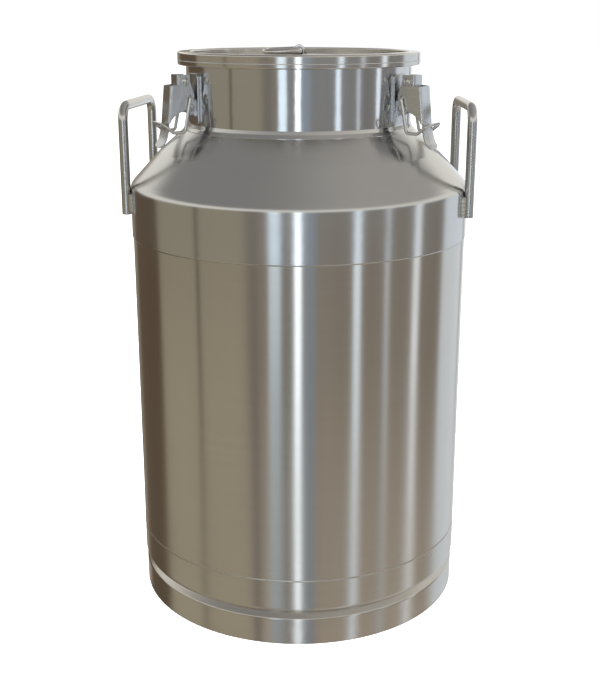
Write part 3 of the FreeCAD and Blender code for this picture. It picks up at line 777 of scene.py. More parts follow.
class SideHandle:
    """Upright U of round rod with four weld beads, made at +X and turned to its azimuth."""

    def __init__(self, shop: Workshop, name: str, azimuth: float, sizes: HandleSizes = HandleSizes()) -> None:
        """Reads the handle's levels from the model and works out its distance from the axis."""
        self.shop = shop
        self.name = name
        self.turn = math.radians(azimuth)
        self.sizes = sizes
        self.band = reach("shoulder_shell")
        self.out = math.sqrt((self.band + sizes.rod) ** 2 - sizes.half_span ** 2)
        low, high = span(f"{name}_handle", 2)
        self.low, self.high = low, high - sizes.rod

    def settle(self, points: Array) -> Array:
        """Turns points about the can's axis to the handle's place."""
        x, y, z = points.T
        c, s = math.cos(self.turn), math.sin(self.turn)
        return np.stack([x * c - y * s, x * s + y * c, z], axis=1)

    def build(self) -> None:
        """Makes the rod and its beads."""
        s, cut = self.sizes, self.low + 0.6 * MM
        route = [(self.out, -s.half_span, cut), (self.out, -s.half_span, self.high),
                 (self.out, s.half_span, self.high), (self.out, s.half_span, cut)]
        path = rounded_path(route, s.bend, step=3 * MM, turn_step=5)
        shape = tube(path, s.rod, (1, 0, 0), sides=48, end_round=0.6 * MM).moved(self.settle)
        self.shop.place(f"{self.name}_handle_rod", shape, Slot.HANDLE_ROD, "can", [f"{self.name}_handle"])
        self.beads()

    def beads(self) -> None:
        """Four upright beads beside the legs: rods whose radius ripples and tapers at both ends.

        The radius is r (1 - 0.07 |sin|) times a rounded taper over the last 3 mm.
        """
        s = self.sizes
        share = np.linspace(0, 1, 90)
        rise = share * s.bead_length
        taper = np.sqrt(1 - (1 - np.clip(np.minimum(rise, s.bead_length - rise) / (3 * MM), 0.02, 1)) ** 2)
        radius = s.bead_radius * taper * (1 - 0.07 * np.abs(np.sin(rise / (1.3 * MM))))
        shapes = []
        for end in (-1, 1):
            leg = math.atan2(end * s.half_span, self.out)
            for flank in (-1, 1):
                turn = leg + flank * (s.rod + s.bead_radius) * s.bead_seat / self.band
                deep = self.band - 0.4 * MM
                x, y = np.full_like(rise, deep * math.cos(turn)), np.full_like(rise, deep * math.sin(turn))
                path = np.stack([x, y, self.low + s.bead_lift + rise], axis=1)
                shapes.append(tube(path, radius, (1, 0, 0), sides=28, end_round=0.05 * MM))
        whole = joined(shapes).moved(self.settle)
        nodes = [f"{self.name}_handle_welds"]
        self.shop.place(f"{self.name}_handle_beads", whole, Slot.WELD_BEAD, "can", nodes)


# ------------------------------------------------------------------------------------------------ lid
@dataclass(frozen=True)
class LidSizes:
    """Sizes of the lid."""

    flange_width: float = 13.4 * MM
    top_radius: float = 2.0 * MM
    inner_radius: float = 1.5 * MM
    groove_depth: float = 3.0 * MM
    groove_inset: float = 3.0 * MM
    groove_width: float = 5.0 * MM
    seal_inset: float = 0.3 * MM
    sheet: float = 1.5 * MM
    moat_depth: float = 17.4 * MM
    moat_width: float = 7.5 * MM
    moat_corner: float = 4.0 * MM
    crown_radius: float = 44.0 * MM
    ring_rod: float = 3.2 * MM
    ring_reach: float = 35.0 * MM
    ring_half_span: float = 25.0 * MM
    ring_bend: float = 9.0 * MM
    hinge_rise: float = 5.0 * MM
    hoop_bore: float = 3.3 * MM
    hoop_outer: float = 5.7 * MM
    hoop_foot: float = 3.0 * MM
    hoop_foot_thick: float = 1.2 * MM


class Lid:
    """Turned flange, gasket, pressed dish, hoop and lifting ring."""

    BODY = "lid"

    def __init__(self, shop: Workshop, sizes: LidSizes = LidSizes()) -> None:
        """Reads the lid's radii and levels from the model's own boxes."""
        self.shop = shop
        self.sizes = sizes
        self.outer = reach("lid_flange_ring")
        self.low, self.top = span("lid_flange_ring", 2)
        self.bore = self.outer - sizes.flange_width
        self.crown = span("lid_hoop", 2)[0]
        self.hinge = self.crown + sizes.hinge_rise

    def build(self) -> None:
        """Makes every piece of the lid."""
        self.flange()
        self.gasket()
        self.dish()
        self.hoop()
        self.ring()

    def flange(self) -> None:
        """Turned rim with a gasket groove in its underside; its top rounds over on both sides."""
        s = self.sizes
        groove_out, groove_in = self.outer - s.groove_inset, self.outer - s.groove_inset - s.groove_width
        groove_top = self.low + s.groove_depth
        line = Outline(support=0.2 * MM).corner(self.bore, self.low, 0.3 * MM).to(groove_in, self.low)
        line.to(groove_in, groove_top).to(groove_out, groove_top).to(groove_out, self.low)
        line.corner(self.outer, self.low, 0.15 * MM).corner(self.outer, self.top, s.top_radius)
        line.corner(self.bore, self.top, s.inner_radius)
        shape = turned(line.points())
        self.shop.place("lid_rim", shape, Slot.TURNED_RIM, self.BODY, ["lid_flange_ring"])

    def gasket(self) -> None:
        """Ring in the groove with a thin lip that reaches out between the rim and the mouth."""
        low, high = span("lid_gasket", 2)
        outer = reach("lid_gasket")
        inner, lip = outer - self.sizes.groove_width, self.outer - self.sizes.seal_inset
        line = Outline(support=0.2 * MM).corner(inner, low, 0.1 * MM).corner(lip, low, 0.1 * MM)
        line.corner(lip, self.low, 0.1 * MM).corner(outer, self.low, 0.1 * MM)
        line.corner(outer, high, 0.4 * MM).corner(inner, high, 0.4 * MM)
        self.shop.place("lid_seal", turned(line.points()), Slot.GASKET_RUBBER, self.BODY, ["lid_gasket"])

    def dish(self) -> None:
        """Pressed sheet, from the axis below, out and up the wall, and back to the axis above."""
        s = self.sizes
        lip = span("lid_dish", 2)[1]
        floor = self.top - s.moat_depth
        corner = self.bore - s.sheet - s.moat_corner
        moat_in = corner - s.moat_width
        line = Outline().to(0, self.crown - s.sheet).corner(s.crown_radius, self.crown - s.sheet, 25 * MM)
        line.corner(moat_in, floor - s.sheet, 6 * MM)
        line.corner(self.bore, floor - s.sheet, s.moat_corner + s.sheet)
        line.corner(self.bore, lip, 0.3 * MM).corner(self.bore - s.sheet, lip, 0.3 * MM)
        line.corner(self.bore - s.sheet, floor, s.moat_corner).corner(moat_in, floor, 6 * MM)
        line.corner(s.crown_radius, self.crown, 25 * MM).to(0, self.crown)
        shape = turned(line.points(closed=False), poles=True)
        self.shop.place("lid_pan", shape, Slot.LID_SHEET, self.BODY, ["lid_dish"])

    def hoop(self) -> None:
        """Strap over the ring's hinge bar: an arch with two feet, as a thick rounded slab."""
        s = self.sizes
        foot, high = s.hoop_outer + s.hoop_foot, s.hoop_foot_thick
        line = Outline(support=0.2 * MM).corner(foot, 0, 0.3 * MM).corner(foot, high, 0.4 * MM)
        line.corner(s.hoop_outer, high, 0.7 * MM).arc((0, s.hinge_rise), s.hoop_outer, 0, 180)
        line.corner(-s.hoop_outer, high, 0.7 * MM).corner(-foot, high, 0.4 * MM).corner(-foot, 0, 0.3 * MM)
        line.corner(-s.hoop_bore, 0, 0.3 * MM).arc((0, s.hinge_rise), s.hoop_bore, 180, 0)
        line.corner(s.hoop_bore, 0, 0.3 * MM)
        low, high_y = span("lid_hoop", 1)
        flat = slab(line.points(), high_y - low, 0.5 * MM)
        shape = flat.moved(lambda p: np.stack([p[:, 0], high_y - p[:, 2], self.crown + p[:, 1]], axis=1))
        self.shop.place("lid_strap", shape.outward(), Slot.LID_FITTING, self.BODY, ["lid_hoop"])

    def ring(self) -> None:
        """Lifting ring of round rod, lying over on the lid."""
        s = self.sizes
        drop = math.asin((s.hinge_rise - s.ring_rod - 0.3 * MM) / s.ring_reach)
        x, z = -s.ring_reach * math.cos(drop), self.hinge - s.ring_reach * math.sin(drop)
        half = s.ring_half_span
        route = [(0, -half, self.hinge), (x, -half, z), (x, half, z), (0, half, self.hinge)]
        path = rounded_path(route, s.ring_bend, closed=True, step=2 * MM)
        shape = tube(path, s.ring_rod, (math.sin(drop), 0, -math.cos(drop)), closed=True, sides=32)
        self.shop.place("lifting_ring_rod", shape, Slot.LID_FITTING, "lifting_ring", ["lid_ring"])


# -------------------------------------------------------------------------------------------- latches
def along(points: Sequence[Sequence[float]], count: int) -> Array:
    """Points evenly spaced by distance along a line of straight runs."""
    line = np.asarray(points, float)
    gone = np.concatenate([[0], np.cumsum(np.linalg.norm(np.diff(line, axis=0), axis=1))])
    at = np.linspace(0, gone[-1], count)
    return np.stack([np.interp(at, gone, line[:, k]) for k in range(line.shape[1])], axis=1)


def arc_points(centre: Place, radius: float, start: float, end: float, count: int = 12) -> Array:
    """Points of an arc between two angles in degrees."""
    turn = np.radians(np.linspace(start, end, count))
    return np.stack([centre[0] + radius * np.cos(turn), centre[1] + radius * np.sin(turn)], axis=1)


def beside(place: Place, shift: Place) -> Place:
    """A place moved by a shift."""
    return place[0] + shift[0], place[1] + shift[1]


def thickened(points: Array, quads: Array, thickness: float) -> Shape:
    """Closed solid from an open sheet whose points lie on its outer side.

    Each point has a partner moved inwards by the thickness along the mean normal of its faces, and each
    free side of the sheet is closed by a strip.

    Args:
        points: (n, 3) points of the outer side.
        quads: its faces.
        thickness: of the sheet.

    Returns:
        The closed shape.
    """
    used, quads = np.unique(quads, return_inverse=True)
    quads = quads.reshape(-1, 4)
    points = points[used]
    a, b, c, d = (points[quads[:, k]] for k in range(4))
    normal = np.cross(c - a, d - b)
    total = np.zeros_like(points)
    for k in range(4):
        np.add.at(total, quads[:, k], normal)
    total /= np.linalg.norm(total, axis=1, keepdims=True)
    if ((points - points.mean(axis=0)) * total).sum() < 0:
        total, quads = -total, quads[:, ::-1]
    inner = points - thickness * total
    count = len(points)
    sides = np.concatenate([quads[:, [k, (k + 1) % 4]] for k in range(4)])
    key = np.sort(sides, axis=1)
    _, first, times = np.unique(key, axis=0, return_index=True, return_counts=True)
    free = sides[first[times == 1]]
    rim = np.stack([free[:, 1], free[:, 0], free[:, 0] + count, free[:, 1] + count], axis=1)
    return Shape(np.concatenate([points, inner]), np.concatenate([quads, quads[:, ::-1] + count, rim]))


@dataclass(frozen=True)
class LatchSizes:
    """Sizes of one latch; a place is (distance out from the neck, drop from the lid's top).

    The cheek and curl places are (out, up) from another point: the cheek's top and low corner from the
    wire's hole, its sweep from the low corner, its heel from the lever's heel, the curls from lip and tip.
    """

    pivot: Place = (14.0 * MM, 28.0 * MM)
    wire_hole: Place = (9.6 * MM, 42.0 * MM)
    rivet: Place = (8.5 * MM, 53.5 * MM)
    lever_top: Place = (29.5 * MM, 31.5 * MM)
    lever_heel: Place = (33.3 * MM, 69.3 * MM)
    lever_lip: Place = (35.3 * MM, 80.5 * MM)
    lever_tip: Place = (42.0 * MM, 92.0 * MM)
    hook_low: Place = (17.0 * MM, 77.0 * MM)
    hook_out: Place = (29.0 * MM, 77.4 * MM)
    hook_bar: Place = (40.0 * MM, 68.5 * MM)
    sheet: float = 1.4 * MM
    ear: float = 1.8 * MM
    half_width: float = 11.0 * MM
    yoke_half: float = 9.3 * MM
    yoke_top: float = 21.0 * MM
    yoke_face: float = 22.0 * MM
    yoke_face_height: float = 10.5 * MM
    yoke_inner: float = 8.5 * MM
    yoke_back: float = 6.0 * MM
    yoke_boss: float = 6.0 * MM
    lever_boss: float = 5.0 * MM
    wire_boss: float = 5.0 * MM
    cheek_top: Place = (3.0 * MM, -2.0 * MM)
    cheek_low: Place = (6.1 * MM, -14.3 * MM)
    cheek_sweep: tuple[Place, ...] = ((5.4 * MM, -2.0 * MM), (10.7 * MM, -5.3 * MM), (13.9 * MM, -8.5 * MM))
    cheek_heel: Place = (-2.4 * MM, 1.4 * MM)
    cheek_rows: int = 44
    lip_curl: tuple[Place, ...] = ((1.1 * MM, -3.6 * MM), (2.7 * MM, -6.8 * MM))
    tip_curl: tuple[Place, ...] = ((-1.7 * MM, 2.1 * MM), (-0.1 * MM, 0.3 * MM))
    tip_from: float = 0.72
    tip_narrow: float = 5.5 * MM
    tail_rows: int = 26
    lobe_edge: float = 0.25 * MM
    lobe_inset: float = 0.03 * MM
    pin: float = 2.5 * MM
    pin_head: float = 4.4 * MM
    pin_dome: float = 1.1 * MM
    wire: float = 1.6 * MM
    wire_bend: float = 3.4 * MM
    wire_offset: float = 14.15 * MM
    plate_width: float = 25.0 * MM
    plate_height: float = 50.0 * MM
    plate_drop: float = 20.4 * MM
    plate_front: float = 2.0 * MM
    plate_corner: float = 4.0 * MM
    fold: float = 2.2 * MM


class Latch:
    """Over-centre latch on the neck: bracket, yoke, rivet, lever pin, lever and wire hook."""

    def __init__(self, shop: Workshop, name: str, azimuth: float, sizes: LatchSizes = LatchSizes()) -> None:
        """Reads the neck's radius and the lid's top from the model."""
        self.shop = shop
        self.name = name
        self.turn = math.radians(azimuth)
        self.sizes = sizes
        self.neck = reach("neck_tube")
        self.top = span("lid_flange_ring", 2)[1]

    def build(self) -> None:
        """Makes every piece of the latch."""
        self.bracket()
        self.yoke()
        self.pins()
        self.lever()
        self.hook()

    def at(self, place: Place) -> Place:
        """(distance out from the neck, drop) as (radius, height)."""
        return self.neck + place[0], self.top - place[1]

    def settle(self, points: Array) -> Array:
        """Carries (radius, height, side) points to the latch's place round the can."""
        r, z, side = points[:, 0], points[:, 1], points[:, 2]
        x = r * math.cos(self.turn) - side * math.sin(self.turn)
        y = r * math.sin(self.turn) + side * math.cos(self.turn)
        return np.stack([x, y, z], axis=1)

    def node(self, piece: str) -> str:
        """Name of one of the latch's nodes in the model."""
        return f"{self.name}_latch_{piece}"

    def place(self, piece: str, shape: Shape, slot: Slot, body: str) -> bpy.types.Object:
        """Makes one piece at the latch's place, named after what it is."""
        shape = shape.moved(self.settle).outward()
        return self.shop.place(f"{self.name}_{piece}", shape, slot, body, [self.node(piece)])

    def sheet(self, piece: str, shape: Shape, body: str, edge: Edge = Edge(0.32 * MM)) -> None:
        """Makes a cut and folded piece whose edges are broken by a small bevel."""
        made = self.place(piece, shape, Slot.LATCH_SHEET, body)
        bevel = made.modifiers.new("edge", "BEVEL")
        bevel.width, bevel.segments = edge.width, edge.segments
        bevel.limit_method, bevel.angle_limit = "ANGLE", math.radians(edge.angle)
        made.modifiers.new("flats", "WEIGHTED_NORMAL")

    def bracket(self) -> None:
        """Base plate on the neck and two ears, each a flat plate with rounded edges."""
        s = self.sizes
        half, top = s.plate_width / 2, self.top - s.plate_drop
        line = Outline(support=0.3 * MM).corner(-half, top, s.plate_corner).corner(half, top, s.plate_corner)
        line.corner(half, top - s.plate_height, s.plate_corner)
        line.corner(-half, top - s.plate_height, s.plate_corner)
        thick, front = s.plate_front + 0.9 * MM, self.neck + s.plate_front
        flat = slab(line.points(), thick, 0.5 * MM)
        base = flat.moved(lambda p: np.stack([front - p[:, 2], p[:, 1], p[:, 0]], axis=1)).outward()
        pivot, rivet, boss = self.at(s.pivot), self.at(s.rivet), s.yoke_boss - 1 * MM
        root = self.neck + 1 * MM
        ear = Outline(support=0.3 * MM).to(root, rivet[1] - boss - 5 * MM).arc(rivet, boss, -80, -20)
        ear.arc(pivot, boss, -20, 150).to(*arc_points(rivet, boss, 145, 145, 1)[0])
        ear.to(root, rivet[1] + boss + 6 * MM)
        flat_ear = slab(ear.points(), s.ear, 0.3 * MM)
        inner = s.yoke_half - s.sheet - s.ear
        whole = joined([base, *both_sides(flat_ear, inner, 1)]).moved(self.settle).outward()
        self.shop.place(f"{self.name}_bracket", whole, Slot.LATCH_SHEET, "can", [self.node("bracket")])

    def yoke(self) -> None:
        """Channel over the ears: a short face above the lever, and cheeks that end round the rivet.

        The grid's rows run level from the back edge to the front edge, and its columns down the sheet.
        """
        s = self.sizes
        face, inner, top = self.neck + s.yoke_face, self.neck + s.yoke_inner, self.top - s.yoke_top
        rivet, boss = self.at(s.rivet), s.yoke_boss
        low = rivet[1] - boss * 0.985
        front = np.concatenate([[(face, top), (face, top - s.yoke_face_height)],
                                arc_points(rivet, boss, -25, -80)])
        round_rivet = arc_points(rivet, boss, 155, 260, 20)
        back = np.concatenate([[(inner, top), (inner, top - s.yoke_back)], round_rivet])
        web = np.linspace(top, top - s.yoke_face_height, 8)
        below = np.linspace(web[-1], low + boss, 10)[1:]
        end = low + boss * (1 - np.sin(np.linspace(0, math.pi / 2, 12)[1:]))
        heights = np.concatenate([web, below, end])
        outer = np.stack([np.interp(-heights, -front[:, 1], front[:, 0]), heights], axis=1)
        rear = np.stack([np.interp(-heights, -back[:, 1], back[:, 0]), heights], axis=1)
        points, quads = folded(outer, rear, np.full(len(heights), s.yoke_half), s.fold, (0, 7), (0, 99))
        self.sheet("yoke", thickened(points, quads, s.sheet), "can")

    def pins(self) -> None:
        """Rivet through the yoke and the ears, and the pin that the lever turns on."""
        s = self.sizes
        self.pin("rivet", s.rivet, s.yoke_half)
        self.pin("lever_pin", s.pivot, s.half_width + 0.15 * MM)

    def pin(self, piece: str, place: Place, seat: float) -> None:
        """Pin with a low dome at each end: an outline turned about the pin's own axis."""
        s = self.sizes
        ball = (s.pin_head ** 2 + s.pin_dome ** 2) / (2 * s.pin_dome)
        spread = math.degrees(math.asin(s.pin_head / ball))
        line = Outline(support=0.1 * MM, turn_step=4)
        line.arc((0, -(seat + s.pin_dome - ball)), ball, -90, -90 + spread - 2)
        line.corner(s.pin_head, -seat, 0.25 * MM).corner(s.pin, -seat, 0.1 * MM)
        line.corner(s.pin, seat, 0.1 * MM).corner(s.pin_head, seat, 0.25 * MM)
        line.arc((0, seat + s.pin_dome - ball), ball, 90 - spread + 2, 90)
        outline = line.points(closed=False)
        outline[[0, -1], 0] = 0
        shape = turned(outline, segments=48, poles=True)
        centre = self.at(place)
        moved = shape.moved(lambda p: np.stack([centre[0] + p[:, 0], centre[1] + p[:, 1], p[:, 2]], axis=1))
        self.place(piece, moved, Slot.LATCH_PIN, "can")

    def lever(self) -> None:
        """Channel lever with a curled lip, and a lobe on each cheek that holds the pin and the wire.

        Row by row the grid joins the cheek's free edge, which sweeps to the heel, with the face's line.
        Beyond the heel only the face goes on, narrows round the tip and curls outwards.
        """
        s = self.sizes
        top, heel, lip, tip = (self.at(p) for p in (s.lever_top, s.lever_heel, s.lever_lip, s.lever_tip))
        pivot, wire = self.at(s.pivot), self.at(s.wire_hole)
        low = beside(wire, s.cheek_low)
        shoulder = arc_points(pivot, s.lever_boss, -35, -35, 1)[0]
        sweep = [beside(low, shift) for shift in s.cheek_sweep]
        edge = [shoulder, beside(wire, s.cheek_top), low, *sweep, beside(heel, s.cheek_heel)]
        rows = s.cheek_rows
        outer, inner = along([top, heel], rows), along(edge, rows)
        middle = ((heel[0] + lip[0]) / 2 - 0.5 * MM, (heel[1] + lip[1]) / 2)
        curl = [heel, middle, lip]
        curl += [beside(lip, shift) for shift in s.lip_curl] + [beside(tip, shift) for shift in s.tip_curl]
        tail = self.smoothed(along(curl, s.tail_rows))[1:]
        run = np.linspace(0, 1, len(tail))
        narrow = np.clip((run - s.tip_from) / (1 - s.tip_from), 0, 1)
        half_tail = s.half_width - s.tip_narrow * (1 - np.sqrt(np.clip(1 - narrow ** 2, 0, 1)))
        back = tail - np.array([0.35 * MM, 0])
        half = np.concatenate([np.full(rows, s.half_width), half_tail])
        points, quads = folded(np.concatenate([outer, tail]), np.concatenate([inner, back]), half, s.fold,
                               (0, 999), (0, rows - 1))
        channel = thickened(points, quads, s.sheet)
        lobe = Outline(support=0.3 * MM).to(top[0] - 8 * MM, shoulder[1] - 0.1 * MM)
        lobe.arc(pivot, s.lever_boss, -35, 160).arc(wire, s.wire_boss, 160, 255).to(*low)
        lobe.to(low[0] + 4 * MM, low[1] + 5 * MM)
        lobes = both_sides(slab(lobe.points(), s.sheet, s.lobe_edge), s.half_width - s.lobe_inset, -1)
        self.sheet("lever", joined([channel.outward(), *lobes]), f"{self.name}_lever")

    @staticmethod
    def smoothed(line: Array) -> Array:
        """A line with each inner point moved to the mean of its neighbours, four times over."""
        made = line.copy()
        for _ in range(4):
            made[1:-1] = (made[:-2] + 2 * made[1:-1] + made[2:]) / 4
        return made

    def hook(self) -> None:
        """Wire bail: its ends in the lever's cheeks, a crossbar in front of the lever's face."""
        s = self.sizes
        eye = self.at(s.wire_hole)
        route = [self.at(place) for place in (s.hook_low, s.hook_out, s.hook_bar)]
        one = [(*eye, s.half_width - s.sheet + 0.5 * MM), (*eye, s.wire_offset)]
        one += [(r, z, s.wire_offset) for r, z in route]
        other = [(r, z, -side) for r, z, side in reversed(one)]
        path = rounded_path(one + other, s.wire_bend, step=2 * MM)
        shape = tube(path, s.wire, (0.31, 0.52, 0.79), sides=28, end_round=0.3 * MM)
        self.place("hook", shape, Slot.LATCH_WIRE, f"{self.name}_hook")


# ------------------------------------------------------------------------------------------ materials
class Graph:
    """Short way to add and join nodes in one tree."""

    def __init__(self, tree: bpy.types.NodeTree) -> None:
        """Keeps the tree that nodes are added to."""
        self.tree = tree

    def add(self, kind: str, **settings: object) -> bpy.types.Node:
        """Adds a node and sets its properties by name."""
        node = self.tree.nodes.new(kind)
        for key, value in settings.items():
            setattr(node, key, value)
        return node

    def feed(self, socket: bpy.types.NodeSocket, value: object) -> None:
        """Joins a socket to another one, or sets its own value."""
        if isinstance(value, bpy.types.NodeSocket):
            self.tree.links.new(value, socket)
        else:
            socket.default_value = value

    def maths(self, operation: str, *values: object, clamp: bool = False) -> bpy.types.NodeSocket:
        """Result of a Math node."""
        node = self.add("ShaderNodeMath", operation=operation, use_clamp=clamp)
        for socket, value in zip(node.inputs, values):
            self.feed(socket, value)
        return node.outputs[0]

    def times(self, first: object, second: object, clamp: bool = False) -> bpy.types.NodeSocket:
        """Product of two values."""
        return self.maths("MULTIPLY", first, second, clamp=clamp)

    def plus(self, first: object, second: object, clamp: bool = False) -> bpy.types.NodeSocket:
        """Sum of two values."""
        return self.maths("ADD", first, second, clamp=clamp)

    def minus(self, first: object, second: object) -> bpy.types.NodeSocket:
        """Difference of two values."""
        return self.maths("SUBTRACT", first, second)

    def ease(self, value: object, start: object, end: object, low: object = 0.0,
             high: object = 1.0) -> bpy.types.NodeSocket:
        """Smooth step of a value from start to end, given out from low to high."""
        node = self.add("ShaderNodeMapRange", interpolation_type="SMOOTHSTEP")
        for socket, given in zip(node.inputs, (value, start, end, low, high)):
            self.feed(socket, given)
        return node.outputs[0]

    def mix(self, factor: object, first: object, second: object, blend: str = "MIX") -> bpy.types.NodeSocket:
        """Colour between two colours."""
        node = self.add("ShaderNodeMix", data_type="RGBA", blend_type=blend)
        for socket, given in zip((node.inputs[0], node.inputs[6], node.inputs[7]), (factor, first, second)):
            self.feed(socket, given)
        return node.outputs[2]

    def noise(self, vector: object, scale: float, detail: float = 4.0,
              rough: float = 0.55) -> bpy.types.NodeSocket:
        """Value of a noise texture."""
        node = self.add("ShaderNodeTexNoise")
        for key, given in (("Vector", vector), ("Scale", scale), ("Detail", detail), ("Roughness", rough)):
            self.feed(node.inputs[key], given)
        return node.outputs[0]

    def scaled(self, vector: object, scale: object) -> bpy.types.NodeSocket:
        """A vector with each part multiplied."""
        node = self.add("ShaderNodeVectorMath", operation="MULTIPLY")
        self.feed(node.inputs[0], vector)
        self.feed(node.inputs[1], scale)
        return node.outputs[0]


def rgba(colour: Colour) -> tuple[float, float, float, float]:
    """A colour with full alpha."""
    return (*colour, 1.0)


class SurfaceGroups:
    """Node groups that several finishes share. They give out only masks and heights."""

    def __init__(self) -> None:
        """Builds the three groups once."""
        self.grain = self.spun_grain()
        self.haze = self.haze_and_marks()
        self.scratches = self.fine_scratches()

    @staticmethod
    def start(name: str, inputs: Sequence[tuple[str, float]], outputs: Sequence[str]
              ) -> tuple[bpy.types.NodeTree, Graph, bpy.types.Node, bpy.types.Node]:
        """Makes an empty group with float sockets."""
        tree = bpy.data.node_groups.new(name, "ShaderNodeTree")
        for label, default in inputs:
            socket = tree.interface.new_socket(label, in_out="INPUT", socket_type="NodeSocketFloat")
            socket.default_value = default
        for label in outputs:
            tree.interface.new_socket(label, in_out="OUTPUT", socket_type="NodeSocketFloat")
        graph = Graph(tree)
        return tree, graph, graph.add("NodeGroupInput"), graph.add("NodeGroupOutput")

    def spun_grain(self) -> bpy.types.NodeTree:
        """Grain that runs round the axis: noise stretched far along x and y and packed along z or radius."""
        inputs = [("Fineness", 1.0), ("Radial", 0.0)]
        tree, g, given, out = self.start("spun_grain", inputs, ["Grain", "Coarse"])
        place = g.add("ShaderNodeTexCoord").outputs["Object"]
        parts = g.add("ShaderNodeSeparateXYZ")
        g.feed(parts.inputs[0], place)
        x, y, z = parts.outputs
        squares = g.plus(g.times(x, x), g.times(y, y))
        radius = g.maths("SQRT", squares)
        across = g.plus(z, g.times(g.minus(radius, z), given.outputs["Radial"]))
        packed = g.times(across, g.times(given.outputs["Fineness"], 100.0))
        joined_up = g.add("ShaderNodeCombineXYZ")
        g.feed(joined_up.inputs[0], x)
        g.feed(joined_up.inputs[1], y)
        g.feed(joined_up.inputs[2], packed)
        g.feed(out.inputs["Grain"], g.noise(joined_up.outputs[0], 22.0, 5.0, 0.7))
        g.feed(out.inputs["Coarse"], g.noise(g.scaled(joined_up.outputs[0], (1.0, 1.0, 0.22)), 9.0, 3.0, 0.6))
        return tree

    def haze_and_marks(self) -> bpy.types.NodeTree:
        """Cloudy unevenness, and small sparse marks where something has touched the metal."""
        inputs = [("Scale", 1.0), ("Amount", 0.5)]
        tree, g, given, out = self.start("haze_and_marks", inputs, ["Haze", "Marks"])
        place = g.add("ShaderNodeTexCoord").outputs["Object"]
        cloud = g.noise(place, g.times(given.outputs["Scale"], 9.0), 3.0, 0.5)
        g.feed(out.inputs["Haze"], g.ease(cloud, 0.3, 0.7))
        patch = g.noise(place, g.times(given.outputs["Scale"], 26.0), 2.0, 0.5)
        speck = g.noise(g.scaled(place, (1.0, 1.0, 2.6)), 420.0, 3.0, 0.6)
        near = g.ease(patch, 0.60, 0.74)
        dots = g.ease(speck, 0.62, 0.70)
        marks = g.times(g.times(near, dots), given.outputs["Amount"])
        g.feed(out.inputs["Marks"], marks)
        return tree

    def fine_scratches(self) -> bpy.types.NodeTree:
        """Hairline scratches in two directions: thin bands where a stretched noise crosses its middle."""
        tree, g, given, out = self.start("fine_scratches", [("Amount", 0.5)], ["Scratches"])
        place = g.add("ShaderNodeTexCoord").outputs["Object"]
        masks = []
        for turn, stretch in (((0.5, 0.2, 0.6), (260.0, 14.0, 14.0)), ((1.1, 0.7, 0.1), (12.0, 230.0, 16.0))):
            mapped = g.add("ShaderNodeMapping")
            g.feed(mapped.inputs["Vector"], place)
            mapped.inputs["Rotation"].default_value = turn
            mapped.inputs["Scale"].default_value = stretch
            wave = g.noise(mapped.outputs[0], 1.0, 2.0, 0.5)
            line = g.maths("ABSOLUTE", g.minus(wave, 0.5))
            masks.append(g.ease(line, 0.0, 0.012, 1.0, 0.0))
        gate = g.ease(g.noise(place, 60.0, 2.0), 0.52, 0.66)
        both = g.times(g.maths("MAXIMUM", *masks), gate)
        g.feed(out.inputs["Scratches"], g.times(both, given.outputs["Amount"]))
        return tree


@dataclass(frozen=True)
class Finish:
    """How one slot's metal is worked."""

    colour: Colour
    dull_colour: Colour
    roughness: float
    anisotropy: float = 0.0
    rotation: float = 0.25
    fineness: float = 1.0
    radial: float = 0.0
    grain: float = 0.03
    bump: float = 0.02
    haze: float = 0.03
    marks: float = 0.3
    scratches: float = 0.2
    low_roughness: Optional[float] = None
    low_at: tuple[float, float] = (0.10, 0.38)
    wave: float = 0.0


